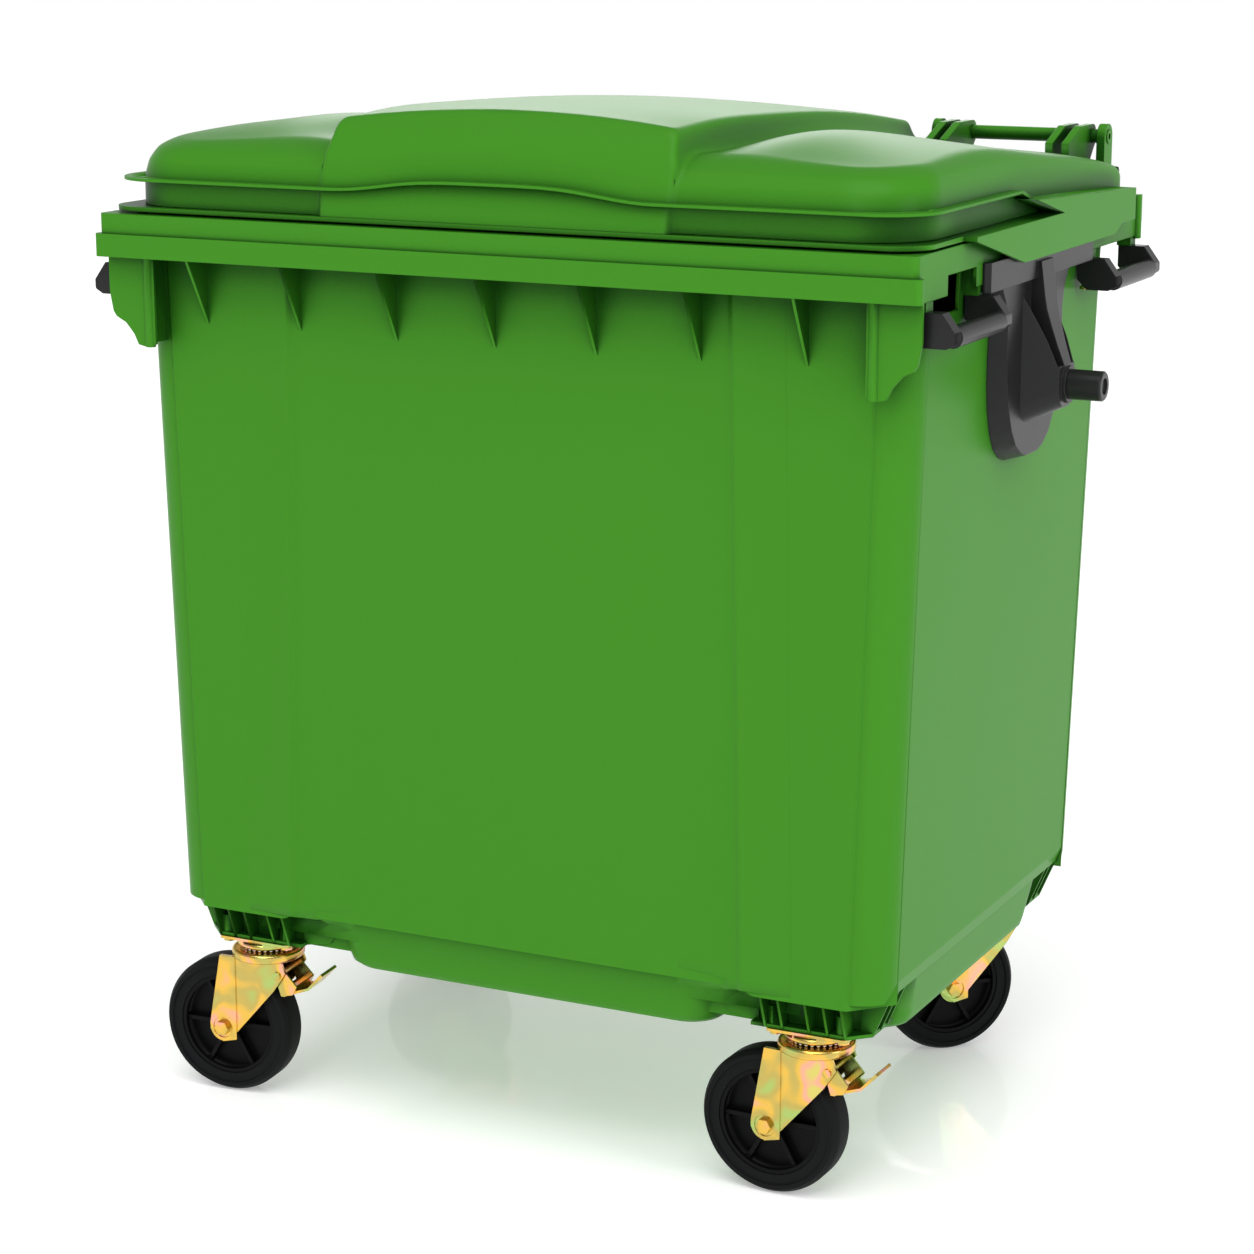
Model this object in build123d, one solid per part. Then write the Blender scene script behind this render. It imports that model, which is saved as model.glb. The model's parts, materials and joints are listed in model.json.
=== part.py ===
"""Four-wheeled waste container of the 770 litre class.

Units are millimetres. The origin is on the floor, midway between the two lift pins.
X runs along the long side, the front faces -Y and Z is up.
"""

import os

from build123d import *

os.makedirs("parts", exist_ok=True)

# Comb rim that the lorry's lift grips
rim_half_x = 588.0
rim_half_y = 437.0
rim_top_z = 1267.0
rim_skirt_h = 58.0
rim_wall = 5.0
rim_corner_r = 9.0
comb_band_h = 31.0
comb_band_proud = 4.0
comb_band_inset = 10.0
corner_post_w = 24.0
corner_post_d = 17.0
corner_post_r = 7.0
corner_post_proud = 6.0
rear_post_drop = 4.0

# Tub
tub_top_half_x = 567.8
tub_top_half_y = 380.0
crease_z = 318.0
crease_half_x = 540.0
crease_half_y = 379.0
crease_reach = 20.0
ledge_z = 296.0
ledge_half_x = 532.0
ledge_half_y = 379.0
tub_corner_r = 50.0
tub_wall = 5.0
column_proud = 3.0
column_soft = 8.0
column_top_in_x = 322.0
column_low_in_x = 338.0
column_low_z = 288.0
column_corner_r = 26.0

# Floor pan and the raised corners over the casters
pan_half_x = 494.0
pan_half_y = 338.0
pan_z = 239.0
pan_spread = 4.0
pan_bite = 3.0
well_z = 218.0
well_front_half_x = 288.0
well_front_half_y = 352.0
well_side_half_x = 519.0
well_side_half_y = 262.0
well_corner_r = 45.0
well_edge_r = 20.0
well_spread = 12.5
round_shares = ((1.0, 0.0), (0.5, 0.134), (0.134, 0.5), (0.0, 1.0))
floor_wall = 6.0

# Caster pads with their leaning ribs
pad_in_x = 346.0
pad_out_x = 508.0
pad_front_y = 357.0
pad_rear_y = 262.0
pad_chamfer = 26.0
pad_plate_t = 5.0
pad_rib_t = 3.5
pad_rib_shares = (0.14, 0.32, 0.6, 0.79)
pad_side_rib_shares = (0.3, 0.62)
pad_end_curve_shares = ((0.0, 0.0), (0.05, 0.5), (0.35, 0.88), (1.0, 1.0))

# Gussets below the front and rear rim
gusset_pitch = 146.4
gusset_count = 7
gusset_shift = -14.0
gusset_t = 4.0
gusset_tip_z = 1113.0

# Cheeks below the front rim corners
cheek_front_y = 417.0
cheek_t = 5.0
cheek_in_x = 516.0
cheek_low_z = 1087.0
cheek_outline_shares = (
    (1.0, 0.39),
    (0.985, 0.45),
    (0.93, 0.62),
    (0.86, 0.68),
    (0.66, 0.74),
    (0.48, 0.86),
    (0.38, 0.98),
    (0.22, 1.0),
    (0.0, 0.97),
)
cheek_web_x = 523.0
cheek_tube_r = 7.0

# Side notch, tabs and recess of the rim
notch_front_y = -333.0
notch_rear_y = -232.0
notch_top_z = 1234.0
tab_in_x = 566.0
tab_out_x = 586.0
tab_w = 24.0

# Hinge
hinge_y = 450.0
hinge_z = 1346.0
rod_r = 10.0
rod_bore_r = 4.5
rod_bore_depth = 20.0
rod_overhang = 1.5
ear_r = 18.0
ear_t = 12.0
ear_x_in = 279.0
ear_x_out = 530.0
ear_root_z = 1214.0
ear_fit = 0.05
arm_r = 17.0
arm_t = 11.0
arm_xs = (303.0, 325.0, 483.0, 507.0)
arm_fit = 0.06
arm_top_y = 399.0
arm_toe_y = 343.0
arm_toe_z = 1342.5
arm_toe_low_z = 1312.0
arm_root_z = 1295.0
arm_under_share = 0.86

# Lid
lid_wall = 4.5
lid_gap = 3.0
flange_t = 6.0
flange_half_x = 587.0
flange_half_y = 425.0
flange_corner_r = 50.0
lid_half_x = 572.0
lid_front_y = -412.0
lid_rear_y = 424.0
lid_corner_r = 92.0
lid_rear_r = 30.0
lobe_rise = 110.0
dome_rise = 144.0
lobe_wall_shares = (
    (-0.3, 0.0, 0.0),
    (0.33, 0.0005, 0.001),
    (0.54, 0.006, 0.0095),
    (0.7, 0.018, 0.026),
    (0.82, 0.04, 0.05),
    (1.15, 0.14, 0.16),
)
lobe_x_shares = (0.0, 0.437, 0.525, 0.63, 0.77, 0.89, 0.958, 1.02)
lobe_top_shares = (
    (-0.03, 0.75, 0.75, 0.75, 0.74, 0.73, 0.7, 0.67, 0.64),
    (0.05, 0.84, 0.845, 0.84, 0.82, 0.79, 0.765, 0.745, 0.72),
    (0.134, 0.82, 0.83, 0.9, 0.92, 0.88, 0.83, 0.79, 0.74),
    (0.254, 0.8, 0.81, 0.95, 1.02, 0.955, 0.875, 0.82, 0.76),
    (0.373, 0.8, 0.82, 0.94, 1.0, 0.935, 0.865, 0.82, 0.76),
    (0.493, 0.82, 0.83, 0.88, 0.9, 0.85, 0.79, 0.75, 0.7),
    (0.612, 0.78, 0.79, 0.79, 0.78, 0.73, 0.68, 0.65, 0.61),
    (0.78, 0.66, 0.66, 0.655, 0.63, 0.585, 0.55, 0.52, 0.48),
    (0.94, 0.5, 0.5, 0.5, 0.485, 0.455, 0.415, 0.37, 0.31),
    (1.03, 0.36, 0.36, 0.36, 0.35, 0.32, 0.28, 0.23, 0.17),
)
dome_front_shares = (
    (0.0, -0.3),
    (0.001, 0.257),
    (0.01, 0.479),
    (0.0245, 0.6875),
    (0.041, 0.85),
    (0.0535, 0.98),
)
dome_over_share = 1.06
dome_section_shares = (
    (-0.01, 0.44, 0.425, 0.83, 0.99, 0.52),
    (0.062, 0.452, 0.435, 0.81, 0.985, 0.6),
    (0.18, 0.46, 0.437, 0.86, 1.0, 0.6),
    (0.373, 0.466, 0.437, 0.848, 1.0, 0.6),
    (0.64, 0.466, 0.437, 0.775, 0.895, 0.57),
    (0.85, 0.462, 0.435, 0.655, 0.74, 0.46),
    (0.98, 0.455, 0.43, 0.535, 0.58, 0.34),
)
dome_shoulder_share = 0.94
dome_shoulder_drop = 7.0
dome_flare_z_share = 0.28
dome_flare_x_share = 0.36
lip_t = 4.0
lip_half_x = 588.0
lip_front_y = -425.0
lip_corner_r = 75.0
lip_z = 1314.0
lip_arch_rise = 15.0
lip_arch_half = 235.0
lip_arch_share = 0.78
lip_end_y = -63.0
lip_foot_y = 55.0
lip_foot_in = 26.0
band_out_x = 605.0
band_t = 5.0
band_wall_front_z = 1302.0
band_wall_rear_z = 1283.0
band_front_y = -279.0
band_low_front_y = -98.0
band_low_rear_y = 276.0
band_rear_y = 368.0
band_step_y = 310.0
band_step_z = 1239.0
band_low_z = 1226.0

# Rubber stops under the lid
stop_r = 9.0
stop_stem_r = 4.0
stop_stem_len = 3.6
stop_stem_spare = 0.6
stop_x = 540.0
stop_y = 400.0

# Lift bracket and pin
pin_tip_x = 685.0
pin_r = 20.0
pin_z = 1058.0
pin_bore_r = 11.0
pin_bore_depth = 3.0
pin_chamfer = 2.1
pin_seat_depth = 30.0
pin_seat_r = 19.0
collar_r = 25.0
collar_x = 633.0
collar_len = 6.0
top_plate_out_x = 597.5
top_plate_half_y = 210.0
top_plate_high_z = 1236.0
top_plate_low_z = 1198.0
top_plate_chamfer = 6.3
web_root_x = 552.0
web_face_x = 588.0
web_half_y = 110.0
web_low_z = 963.0
web_top_z = 1208.0
web_outline_shares = (
    (1.36, 1.0),
    (1.2, 0.945),
    (1.06, 0.86),
    (0.99, 0.75),
    (0.99, 0.6),
    (0.965, 0.45),
    (0.9, 0.31),
    (0.76, 0.17),
    (0.6, 0.08),
    (0.4, 0.025),
    (0.2, 0.0),
)
web_root_spread = 10.0
web_wall = 7.0
boss_half_y = 56.0
boss_top_z = 1190.0
boss_low_z = 1004.0
boss_low_r = 28.0
boss_tip_r = 30.0
boss_tip_share = 0.8
pocket_gap = 5.0
pocket_tip_gap = 1.0
rib_half_y = 24.0
rib_tip_half_y = 13.5
rib_top_x = 608.0
rib_plate_x = 602.0
rib_plate_z = 1220.0
rib_knee_z = 1176.0
rib_curve_shares = ((0.0, 0.0), (0.1, 0.2), (0.33, 0.43), (0.62, 0.7), (1.0, 1.0))
rib_tip_x = 634.0
rib_tip_z = 1084.0
bracket_bolt_y = 82.0
bracket_bolt_zs = (1176.0, 1062.0)
bracket_bolt_r = 5.0
bracket_bolt_len = 26.0
bracket_head_r = 10.0
bracket_head_h = 5.0
bracket_boss_r = 11.0

# Grips
grip_bar_x = 612.0
grip_bar_z = 1165.0
grip_bar_r = 13.5
grip_len = 204.0
grip_wall = 22.0
grip_front_y = -400.0
grip_rear_y = 230.0
grip_seat_z = 1196.0
grip_in_x = 568.0
grip_top_out_x = 606.0
grip_low_z = 1153.0
grip_face_share = 0.85
grip_face_high_share = 0.55
grip_face_low_share = 0.4
grip_soft_share = 0.35
grip_screw_x = 576.0
grip_screw_r = 4.0
grip_screw_len = 46.0
grip_head_r = 7.5
grip_head_h = 4.0

# Casters
wheel_r = 100.0
wheel_w = 48.0
tyre_bore_r = 74.0
tyre_step_r = 88.0
tyre_step_w = 43.0
tyre_crown = 3.0
tyre_flat_share = 0.6
rim_w = 40.0
rim_ring_t = 6.0
hub_r = 19.0
hub_w = 58.0
disc_t = 5.0
spoke_w = 6.0
spoke_depth = 28.0
spoke_count = 6
swivel_x = 425.0
swivel_y = 320.0
trail = 58.0
front_right_turn = -1.5
front_left_turn = 4.9
rear_right_turn = 42.0
rear_left_turn = 28.0
tube_r = 10.0
tube_len = 60.0
hub_fit = 0.05
axle_r = 6.0
axle_head_w = 19.0
axle_head_h = 8.0
axle_nut_h = 9.0
axle_spare = 3.0
axle_seat_share = 0.8
cheek_plate_t = 4.0
fork_ring_r = 52.0
fork_ring_low_z = 207.0
fork_ring_high_z = 221.0
fork_ring_edge_r = 5.0
fork_crown_t = 5.0
fork_foot_r = 21.0
fork_strip_in = 22.0
fork_strip_top_in = 2.0
fork_strip_top_z = 209.0
fork_knee_x = 25.0
fork_knee_z = 165.0
fork_shoulder_x = 43.0
fork_shoulder_z = 193.0
fork_bend_t = 2.0
fork_foot_shares = ((-0.95, 0.3), (0.9, -0.42), (-0.95, -0.2), (0.0, -0.75))
fork_crown_share = 0.8
race_r = 43.0
race_low_z = 225.0
race_edge_r = 3.5
plate_t = 4.0
plate_half_x = 58.0
plate_half_y = 40.0
plate_corner_r = 8.0
king_r = 8.0
king_head_r = 14.0
king_head_h = 5.0
king_fit = 0.06
king_gap = 0.3
bolt_x = 48.0
bolt_y = 26.0
bolt_r = 5.0
bolt_head_w = 15.0
bolt_head_h = 5.5
bolt_grip = 22.0
bolt_tip_gap = 2.0
bolt_boss_r = 9.5
bolt_boss_h = 30.0
bolt_fit = 0.2

# Brake pedal of the front casters
pedal_pivot_x = 30.0
pedal_pivot_z = 188.0
pedal_pin_r = 3.5
pedal_pin_head_r = 6.0
pedal_pin_head_h = 2.5
pedal_fit = 0.06
pedal_half_y = 28.0
pedal_t = 3.0
pedal_bend_shares = (0.4, 1.2)
pedal_eye_r = 7.5
pedal_arm_out_x = 58.0
pedal_arm_out_z = 173.0
pedal_arm_low_x = 51.0
pedal_arm_low_z = 160.0
pedal_heel_x = 74.0
pedal_heel_z = 168.0
pedal_tip_x = 97.0
pedal_tip_z = 192.0
pedal_tip_half_y = 23.0
shoe_x = 33.0
shoe_z = 156.0
shoe_w = 6.0
shoe_h = 11.0

# Drain plug under the floor
drain_y = -150.0
drain_hole_r = 26.0
drain_hole_fit = 0.3
drain_flange_r = 38.0
drain_flange_h = 7.0
drain_neck_r = 20.0
drain_neck_h = 16.0
drain_seal_r = 34.0
drain_seal_t = 2.0
drain_grip_len = 56.0
drain_grip_w = 10.0
drain_grip_h = 14.0
drain_rim_h = 4.0

overrun = 30.0


def prism_z(points, low, high):
    """Straight prism over an outline of (x, y) points."""
    face = Plane.XY.offset(low) * Polygon(*points)
    return extrude(face, amount=high - low, dir=Axis.Z.direction)


def prism_x(points, low, high):
    """Straight prism over an outline of (y, z) points."""
    face = Plane.YZ.offset(low) * Polygon(*points)
    return extrude(face, amount=high - low, dir=Axis.X.direction)


def prism_y(points, low, high):
    """Straight prism over an outline of (x, z) points."""
    face = Plane.XZ.offset(-low) * Polygon(*points)
    return extrude(face, amount=high - low, dir=Axis.Y.direction)


def block(x_low, x_high, y_low, y_high, z_low, z_high):
    """Box between two corners."""
    box = Box(x_high - x_low, y_high - y_low, z_high - z_low, align=(Align.MIN,) * 3)
    return Pos(x_low, y_low, z_low) * box


def rounded(half_x, half_y, radius, z, centre_y=0):
    """Rounded rectangle at one height."""
    return Plane.XY.offset(z) * Pos(0, centre_y) * RectangleRounded(
        half_x + half_x, half_y + half_y, radius
    )


def rounded_prism(half_x, half_y, radius, low, high, centre_y=0):
    """Upright prism with rounded plan corners."""
    return extrude(rounded(half_x, half_y, radius, low, centre_y), amount=high - low)


def rod_x(radius, x_low, x_high, y, z):
    """Cylinder along X."""
    return extrude(Plane.YZ.offset(x_low) * Pos(y, z) * Circle(radius), amount=x_high - x_low)


def rod_y(radius, y_low, y_high, x, z):
    """Cylinder along Y."""
    return extrude(Plane.XZ.offset(-y_high) * Pos(x, z) * Circle(radius), amount=y_high - y_low)


def rod_z(radius, z_low, z_high, x, y):
    """Cylinder along Z."""
    return extrude(Plane.XY.offset(z_low) * Pos(x, y) * Circle(radius), amount=z_high - z_low)


def both_x(shape):
    """A shape with its mirror image across the middle of the long side."""
    return shape + mirror(shape, about=Plane.YZ)


def both_y(shape):
    """A shape with its mirror image across the middle of the short side."""
    return shape + mirror(shape, about=Plane.XZ)


def tub_side_x(z):
    """Where the long end wall of the tub stands at a height."""
    part = (z - crease_z) / (rim_top_z - crease_z)
    return crease_half_x + part * (tub_top_half_x - crease_half_x)


def both_ways(points):
    """Closed outline from the right-hand half of a symmetric one."""
    return [(-a, b) for a, b in points] + list(reversed(points))


def tub(inset, low):
    """Tapered tub with rounded corners, shrunk by a wall for its inside."""
    high = rim_top_z
    ends = [(tub_side_x(high) - inset, high), (tub_side_x(low) - inset, low)]
    fronts = [(tub_top_half_y - inset, high), (ledge_half_y - inset, low)]
    shape = prism_y(both_ways(ends), -tub_top_half_y, tub_top_half_y)
    shape &= prism_x(both_ways(fronts), -tub_top_half_x, tub_top_half_x)
    upright = [edge for edge in shape.edges() if abs((edge @ 0).Z - (edge @ 1).Z) > crease_reach]
    shape = fillet(upright, tub_corner_r - inset)
    crease = [
        (tub_top_half_x, high),
        (tub_top_half_x, crease_z + crease_reach),
        (crease_half_x - inset, crease_z),
        (ledge_half_x - inset, low),
    ]
    return shape & prism_y(both_ways(crease), -tub_top_half_y, tub_top_half_y)


def columns():
    """The proud corner columns on the front and rear walls."""
    faces = []
    for z, inner in ((rim_top_z, column_top_in_x), (column_low_z, column_low_in_x)):
        share = (z - column_low_z) / (rim_top_z - column_low_z)
        wall_y = crease_half_y + share * (tub_top_half_y - crease_half_y)
        edge = crease_half_x - tub_corner_r + share * (tub_top_half_x - crease_half_x)
        back = wall_y - tub_corner_r
        points = [
            (inner, -back),
            (inner, -wall_y),
            (inner + column_soft, -wall_y - column_proud),
            (edge, -wall_y - column_proud),
            (edge + tub_corner_r, -back),
        ]
        faces.append(Plane.XY.offset(z) * Polygon(*points))
    column = loft(faces, ruled=True)
    low_edges = column.edges().filter_by(Axis.Y).group_by(Axis.Z)[0].sort_by(Axis.X)[:1]
    column = fillet(low_edges, column_corner_r)
    return both_y(both_x(column))


def cross_outline(inset, z):
    """Plan of the deep cross between the casters, shrunk by an inset."""
    front_x = well_front_half_x - inset
    front_y = well_front_half_y - inset
    side_x = well_side_half_x - inset
    side_y = well_side_half_y - inset
    quarter = [(side_x, side_y), (front_x, side_y), (front_x, front_y)]
    points = quarter + [(-x, y) for x, y in reversed(quarter)]
    points += [(-x, -y) for x, y in points]
    outline = FilletPolyline(*points, radius=well_corner_r, close=True)
    return Plane.XY.offset(z) * make_face(outline.edges())


def floor_pan(inset):
    """The shallow pan over the casters and the deeper cross between them."""
    top_z = ledge_z + floor_wall
    lift = floor_wall if inset else 0
    radius = well_edge_r - inset
    sections = [
        cross_outline(inset + a * radius, well_z + lift + b * radius) for a, b in round_shares
    ]
    sections.append(cross_outline(inset - well_spread, top_z))
    well = loft(sections, ruled=True)
    corner_r = well_corner_r - inset
    sections = [
        rounded(pan_half_x - inset, pan_half_y - inset, corner_r, pan_z + lift),
        rounded(pan_half_x + pan_spread - inset, pan_half_y + pan_spread - inset, corner_r, top_z),
    ]
    return well + loft(sections, ruled=True)


def caster_pad():
    """Front right pad: base plate, leaning front ribs, end walls and side ribs."""
    outline = [
        (pad_in_x, -pad_rear_y),
        (pad_in_x, -pad_front_y),
        (pad_out_x - pad_chamfer, -pad_front_y),
        (pad_out_x, -pad_front_y + pad_chamfer),
        (pad_out_x, -pad_rear_y),
    ]
    shape = prism_z(outline, pan_z, pan_z + pad_plate_t)
    top_z = ledge_z + floor_wall
    front_rib = [
        (-ledge_half_y, top_z),
        (-ledge_half_y, ledge_z),
        (-pad_front_y, pan_z),
        (-pan_half_y + pan_bite, pan_z),
        (-pan_half_y + pan_bite, top_z),
    ]
    span = pad_out_x - pad_chamfer - pad_in_x
    for place in pad_rib_shares:
        x = pad_in_x + place * span
        shape += prism_x(front_rib, x, x + pad_rib_t)
    x = pad_out_x - pad_chamfer - pad_rib_t
    shape += prism_x(front_rib, x, x + pad_rib_t)
    reach = pad_in_x - well_front_half_x
    curve = [
        (pad_in_x - reach * (1 - a), top_z - (top_z - pan_z) * b) for a, b in pad_end_curve_shares
    ]
    end_wall = curve + [(pad_in_x + pad_plate_t, pan_z), (pad_in_x + pad_plate_t, top_z)]
    shape += prism_y(end_wall, -pan_half_y - pad_rib_t, -pan_half_y + pan_bite)
    side_rib = [
        (ledge_half_x, top_z),
        (ledge_half_x, ledge_z),
        (pad_out_x, pan_z),
        (pan_half_x - pan_bite, pan_z),
        (pan_half_x - pan_bite, top_z),
    ]
    depth = pad_front_y - pad_chamfer - pad_rear_y
    for place in pad_side_rib_shares:
        y = -pad_rear_y - place * depth
        shape += prism_y(side_rib, y, y + pad_rib_t)
    y = -pad_front_y + pad_chamfer
    return shape + prism_y(side_rib, y, y + pad_rib_t)


def rim():
    """Comb rim: top flange, hanging skirt and the proud lower band in front and behind."""
    low = rim_top_z - rim_skirt_h
    shape = rounded_prism(rim_half_x, rim_half_y, rim_corner_r, low, rim_top_z)
    band_x = rim_half_x - comb_band_inset
    band = block(
        -band_x,
        band_x,
        -rim_half_y - comb_band_proud,
        -rim_half_y + rim_wall,
        low,
        low + comb_band_h,
    )
    shape += band
    hollow = block(
        -rim_half_x + rim_wall,
        rim_half_x - rim_wall,
        -rim_half_y + rim_wall,
        rim_half_y - rim_wall,
        low - overrun,
        rim_top_z - rim_wall,
    )
    return shape - hollow


def corner_posts():
    """Rounded posts on the right-hand rim corners, low in front and full height behind."""
    low = rim_top_z - rim_skirt_h
    shape = None
    for side, start, end in (
        (-1, low, low + comb_band_h),
        (1, low - rear_post_drop, rim_top_z),
    ):
        x = rim_half_x + corner_post_proud - corner_post_w / 2
        y = side * (rim_half_y + comb_band_proud - corner_post_d / 2)
        plan = RectangleRounded(corner_post_w, corner_post_d, corner_post_r)
        post = extrude(Plane.XY.offset(start) * Pos(x, y) * plan, amount=end - start)
        shape = post if shape is None else shape + post
    return shape


def gusset():
    """One thin three-cornered rib between the front wall and the rim."""
    low = rim_top_z - rim_skirt_h
    points = [
        (-tub_top_half_y + tub_wall, rim_top_z - rim_wall),
        (-rim_half_y + rim_wall, rim_top_z - rim_wall),
        (-rim_half_y + rim_wall, low),
        (-tub_top_half_y, gusset_tip_z),
        (-tub_top_half_y + tub_wall, gusset_tip_z),
    ]
    return prism_x(points, -gusset_t / 2, gusset_t / 2)


def gussets():
    """The front row of gussets."""
    shape = None
    for index in range(gusset_count):
        x = gusset_shift + (index - (gusset_count - 1) / 2) * gusset_pitch
        rib = Pos(x, 0, 0) * gusset()
        shape = rib if shape is None else shape + rib
    return shape


def cheek():
    """Right cheek under the front rim corner, with its return wall and rounded edge."""
    high = rim_top_z - rim_wall
    low = rim_top_z - rim_skirt_h
    span_x = rim_half_x - cheek_in_x
    span_z = low - cheek_low_z
    curve = [
        (cheek_in_x + a * span_x, low - b * span_z) for a, b in cheek_outline_shares
    ]
    outline = [(cheek_in_x, high), (rim_half_x - rim_wall, high), (rim_half_x, low)] + curve
    shape = prism_y(outline, -cheek_front_y, -cheek_front_y + cheek_t)
    web = [
        (-cheek_front_y, high),
        (-cheek_front_y, cheek_low_z + cheek_t),
        (-tub_top_half_y + tub_corner_r, cheek_low_z + cheek_t),
        (-tub_top_half_y + tub_corner_r, high),
    ]
    shape += prism_x(web, cheek_web_x, cheek_web_x + cheek_t)
    tube_x = cheek_web_x + cheek_t / 2
    return shape + rod_z(cheek_tube_r, cheek_low_z, high, tube_x, -cheek_front_y + cheek_t / 2)


def side_notch():
    """Hand notch at the front of the right rim skirt."""
    low = rim_top_z - rim_skirt_h
    inner = rim_half_x - rim_wall
    return block(
        inner - overrun,
        rim_half_x + overrun,
        notch_front_y,
        notch_rear_y,
        low - overrun,
        notch_top_z,
    )


def grip_tab_places():
    """Middle Y of each tab that a grip hangs from."""
    inset = grip_wall / 2
    places = []
    for start in (grip_front_y, grip_rear_y):
        places.append(start + inset)
        places.append(start + grip_len - inset)
    return places


def grip_tabs():
    """Right-hand tabs below the rim flange that the grips are screwed to."""
    shape = None
    screw_top = grip_low_z + grip_head_h + grip_screw_len
    for y in grip_tab_places():
        tab = block(
            tab_in_x,
            tab_out_x,
            y - tab_w / 2,
            y + tab_w / 2,
            grip_seat_z,
            rim_top_z - rim_wall / 2,
        )
        tab -= rod_z(grip_screw_r, grip_seat_z - overrun, screw_top, grip_screw_x, y)
        shape = tab if shape is None else shape + tab
    return shape


def hinge_ear(x):
    """One upright ear on the rear of the rim that carries the hinge rod."""
    points = [
        (hinge_y - ear_r, hinge_z),
        (hinge_y - ear_r, rim_top_z - rim_skirt_h),
        (rim_half_y, ear_root_z - ear_r),
        (hinge_y + ear_r, ear_root_z + ear_r),
        (hinge_y + ear_r, hinge_z),
    ]
    low = x - ear_t / 2
    shape = prism_x(points, low, low + ear_t) + rod_x(ear_r, low, low + ear_t, hinge_y, hinge_z)
    return shape - rod_x(rod_r + ear_fit, low - ear_t, low + ear_t + ear_t, hinge_y, hinge_z)


def bracket_bolt_places():
    """Y and Z of the bolts of one lift bracket."""
    return [(side * bracket_bolt_y, z) for side in (-1, 1) for z in bracket_bolt_zs]


def caster_bolt_places(side_x, side_y):
    """X and Y of the four bolts of one caster."""
    return [
        (side_x * swivel_x + a * bolt_x, side_y * swivel_y + b * bolt_y)
        for a in (-1, 1)
        for b in (-1, 1)
    ]


def container_body():
    """The one-piece moulded tub."""
    rear_gussets = mirror(gussets(), about=Plane.XZ)
    shape = rim() + tub(0, ledge_z) + columns() + floor_pan(0)
    shape += both_y(both_x(caster_pad()))
    shape += gussets() + rear_gussets + both_x(cheek())
    shape -= both_x(side_notch())
    shape += both_x(grip_tabs()) + both_x(corner_posts())
    shape += both_x(hinge_ear(ear_x_in)) + both_x(hinge_ear(ear_x_out))
    inside = tub(tub_wall, ledge_z + floor_wall) + floor_pan(floor_wall)
    top = rounded_prism(
        tub_top_half_x - tub_wall,
        tub_top_half_y - tub_wall,
        tub_corner_r,
        rim_top_z - rim_wall,
        rim_top_z + overrun,
    )
    shape -= inside + top
    shape += rod_z(drain_flange_r + drain_rim_h, well_z - drain_rim_h, well_z + drain_rim_h, 0, drain_y)
    shape -= rod_z(drain_flange_r + drain_hole_fit, well_z - overrun, well_z, 0, drain_y)
    shape -= rod_z(drain_hole_r, well_z - overrun, well_z + overrun, 0, drain_y)
    for y, z in bracket_bolt_places():
        shape -= both_x(rod_x(bracket_bolt_r, web_root_x - overrun, web_face_x, y, z))
    for side_x in (-1, 1):
        for side_y in (-1, 1):
            for x, y in caster_bolt_places(side_x, side_y):
                shape += rod_z(bolt_boss_r, pan_z, pan_z + bolt_boss_h, x, y)
                shape -= rod_z(bolt_r, pan_z - overrun, pan_z + bolt_grip + bolt_tip_gap, x, y)
    return shape


def lid_plan(inset, share_x, share_y, z):
    """Plan of the lid's walls at one height, drawn in by shares of its size."""
    half_x = lid_half_x * (1 - share_x) - inset
    front = lid_front_y + share_y * (lid_rear_y - lid_front_y) + inset
    rear = lid_rear_y - inset
    face = Polygon((-half_x, front), (half_x, front), (half_x, rear), (-half_x, rear))
    face = fillet(face.vertices().sort_by(Axis.Y)[:2], lid_corner_r - inset)
    face = fillet(face.vertices().sort_by(Axis.Y)[-2:], lid_rear_r - inset)
    return Plane.XY.offset(z) * face


def lobes(inset):
    """The two low lobes as one body: leaning walls cut off by a top with a valley at the dome."""
    base = rim_top_z + lid_gap + flange_t
    depth = lid_rear_y - lid_front_y
    low = base - overrun if inset else rim_top_z + lid_gap
    plans = [
        lid_plan(inset, share_x, share_y, base + share_z * lobe_rise)
        for share_z, share_x, share_y in lobe_wall_shares
    ]
    walls = loft(plans)
    tops = []
    for row in lobe_top_shares:
        right = [
            (lid_half_x * a, base + b * lobe_rise - inset)
            for a, b in zip(lobe_x_shares, row[1:])
        ]
        left = [(-x, z) for x, z in reversed(right[1:])]
        floor_z = base - overrun
        end = right[-1][0]
        outline = Spline(*(left + right))
        outline += Polyline(right[-1], (end, floor_z), (-end, floor_z), left[0])
        tops.append(Plane.XZ.offset(-(lid_front_y + row[0] * depth)) * make_face(outline.edges()))
    top = loft(tops)
    reach = lid_half_x + overrun
    return walls & top & block(-reach, reach, lid_front_y, lid_rear_y, low, base + dome_rise)


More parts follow.
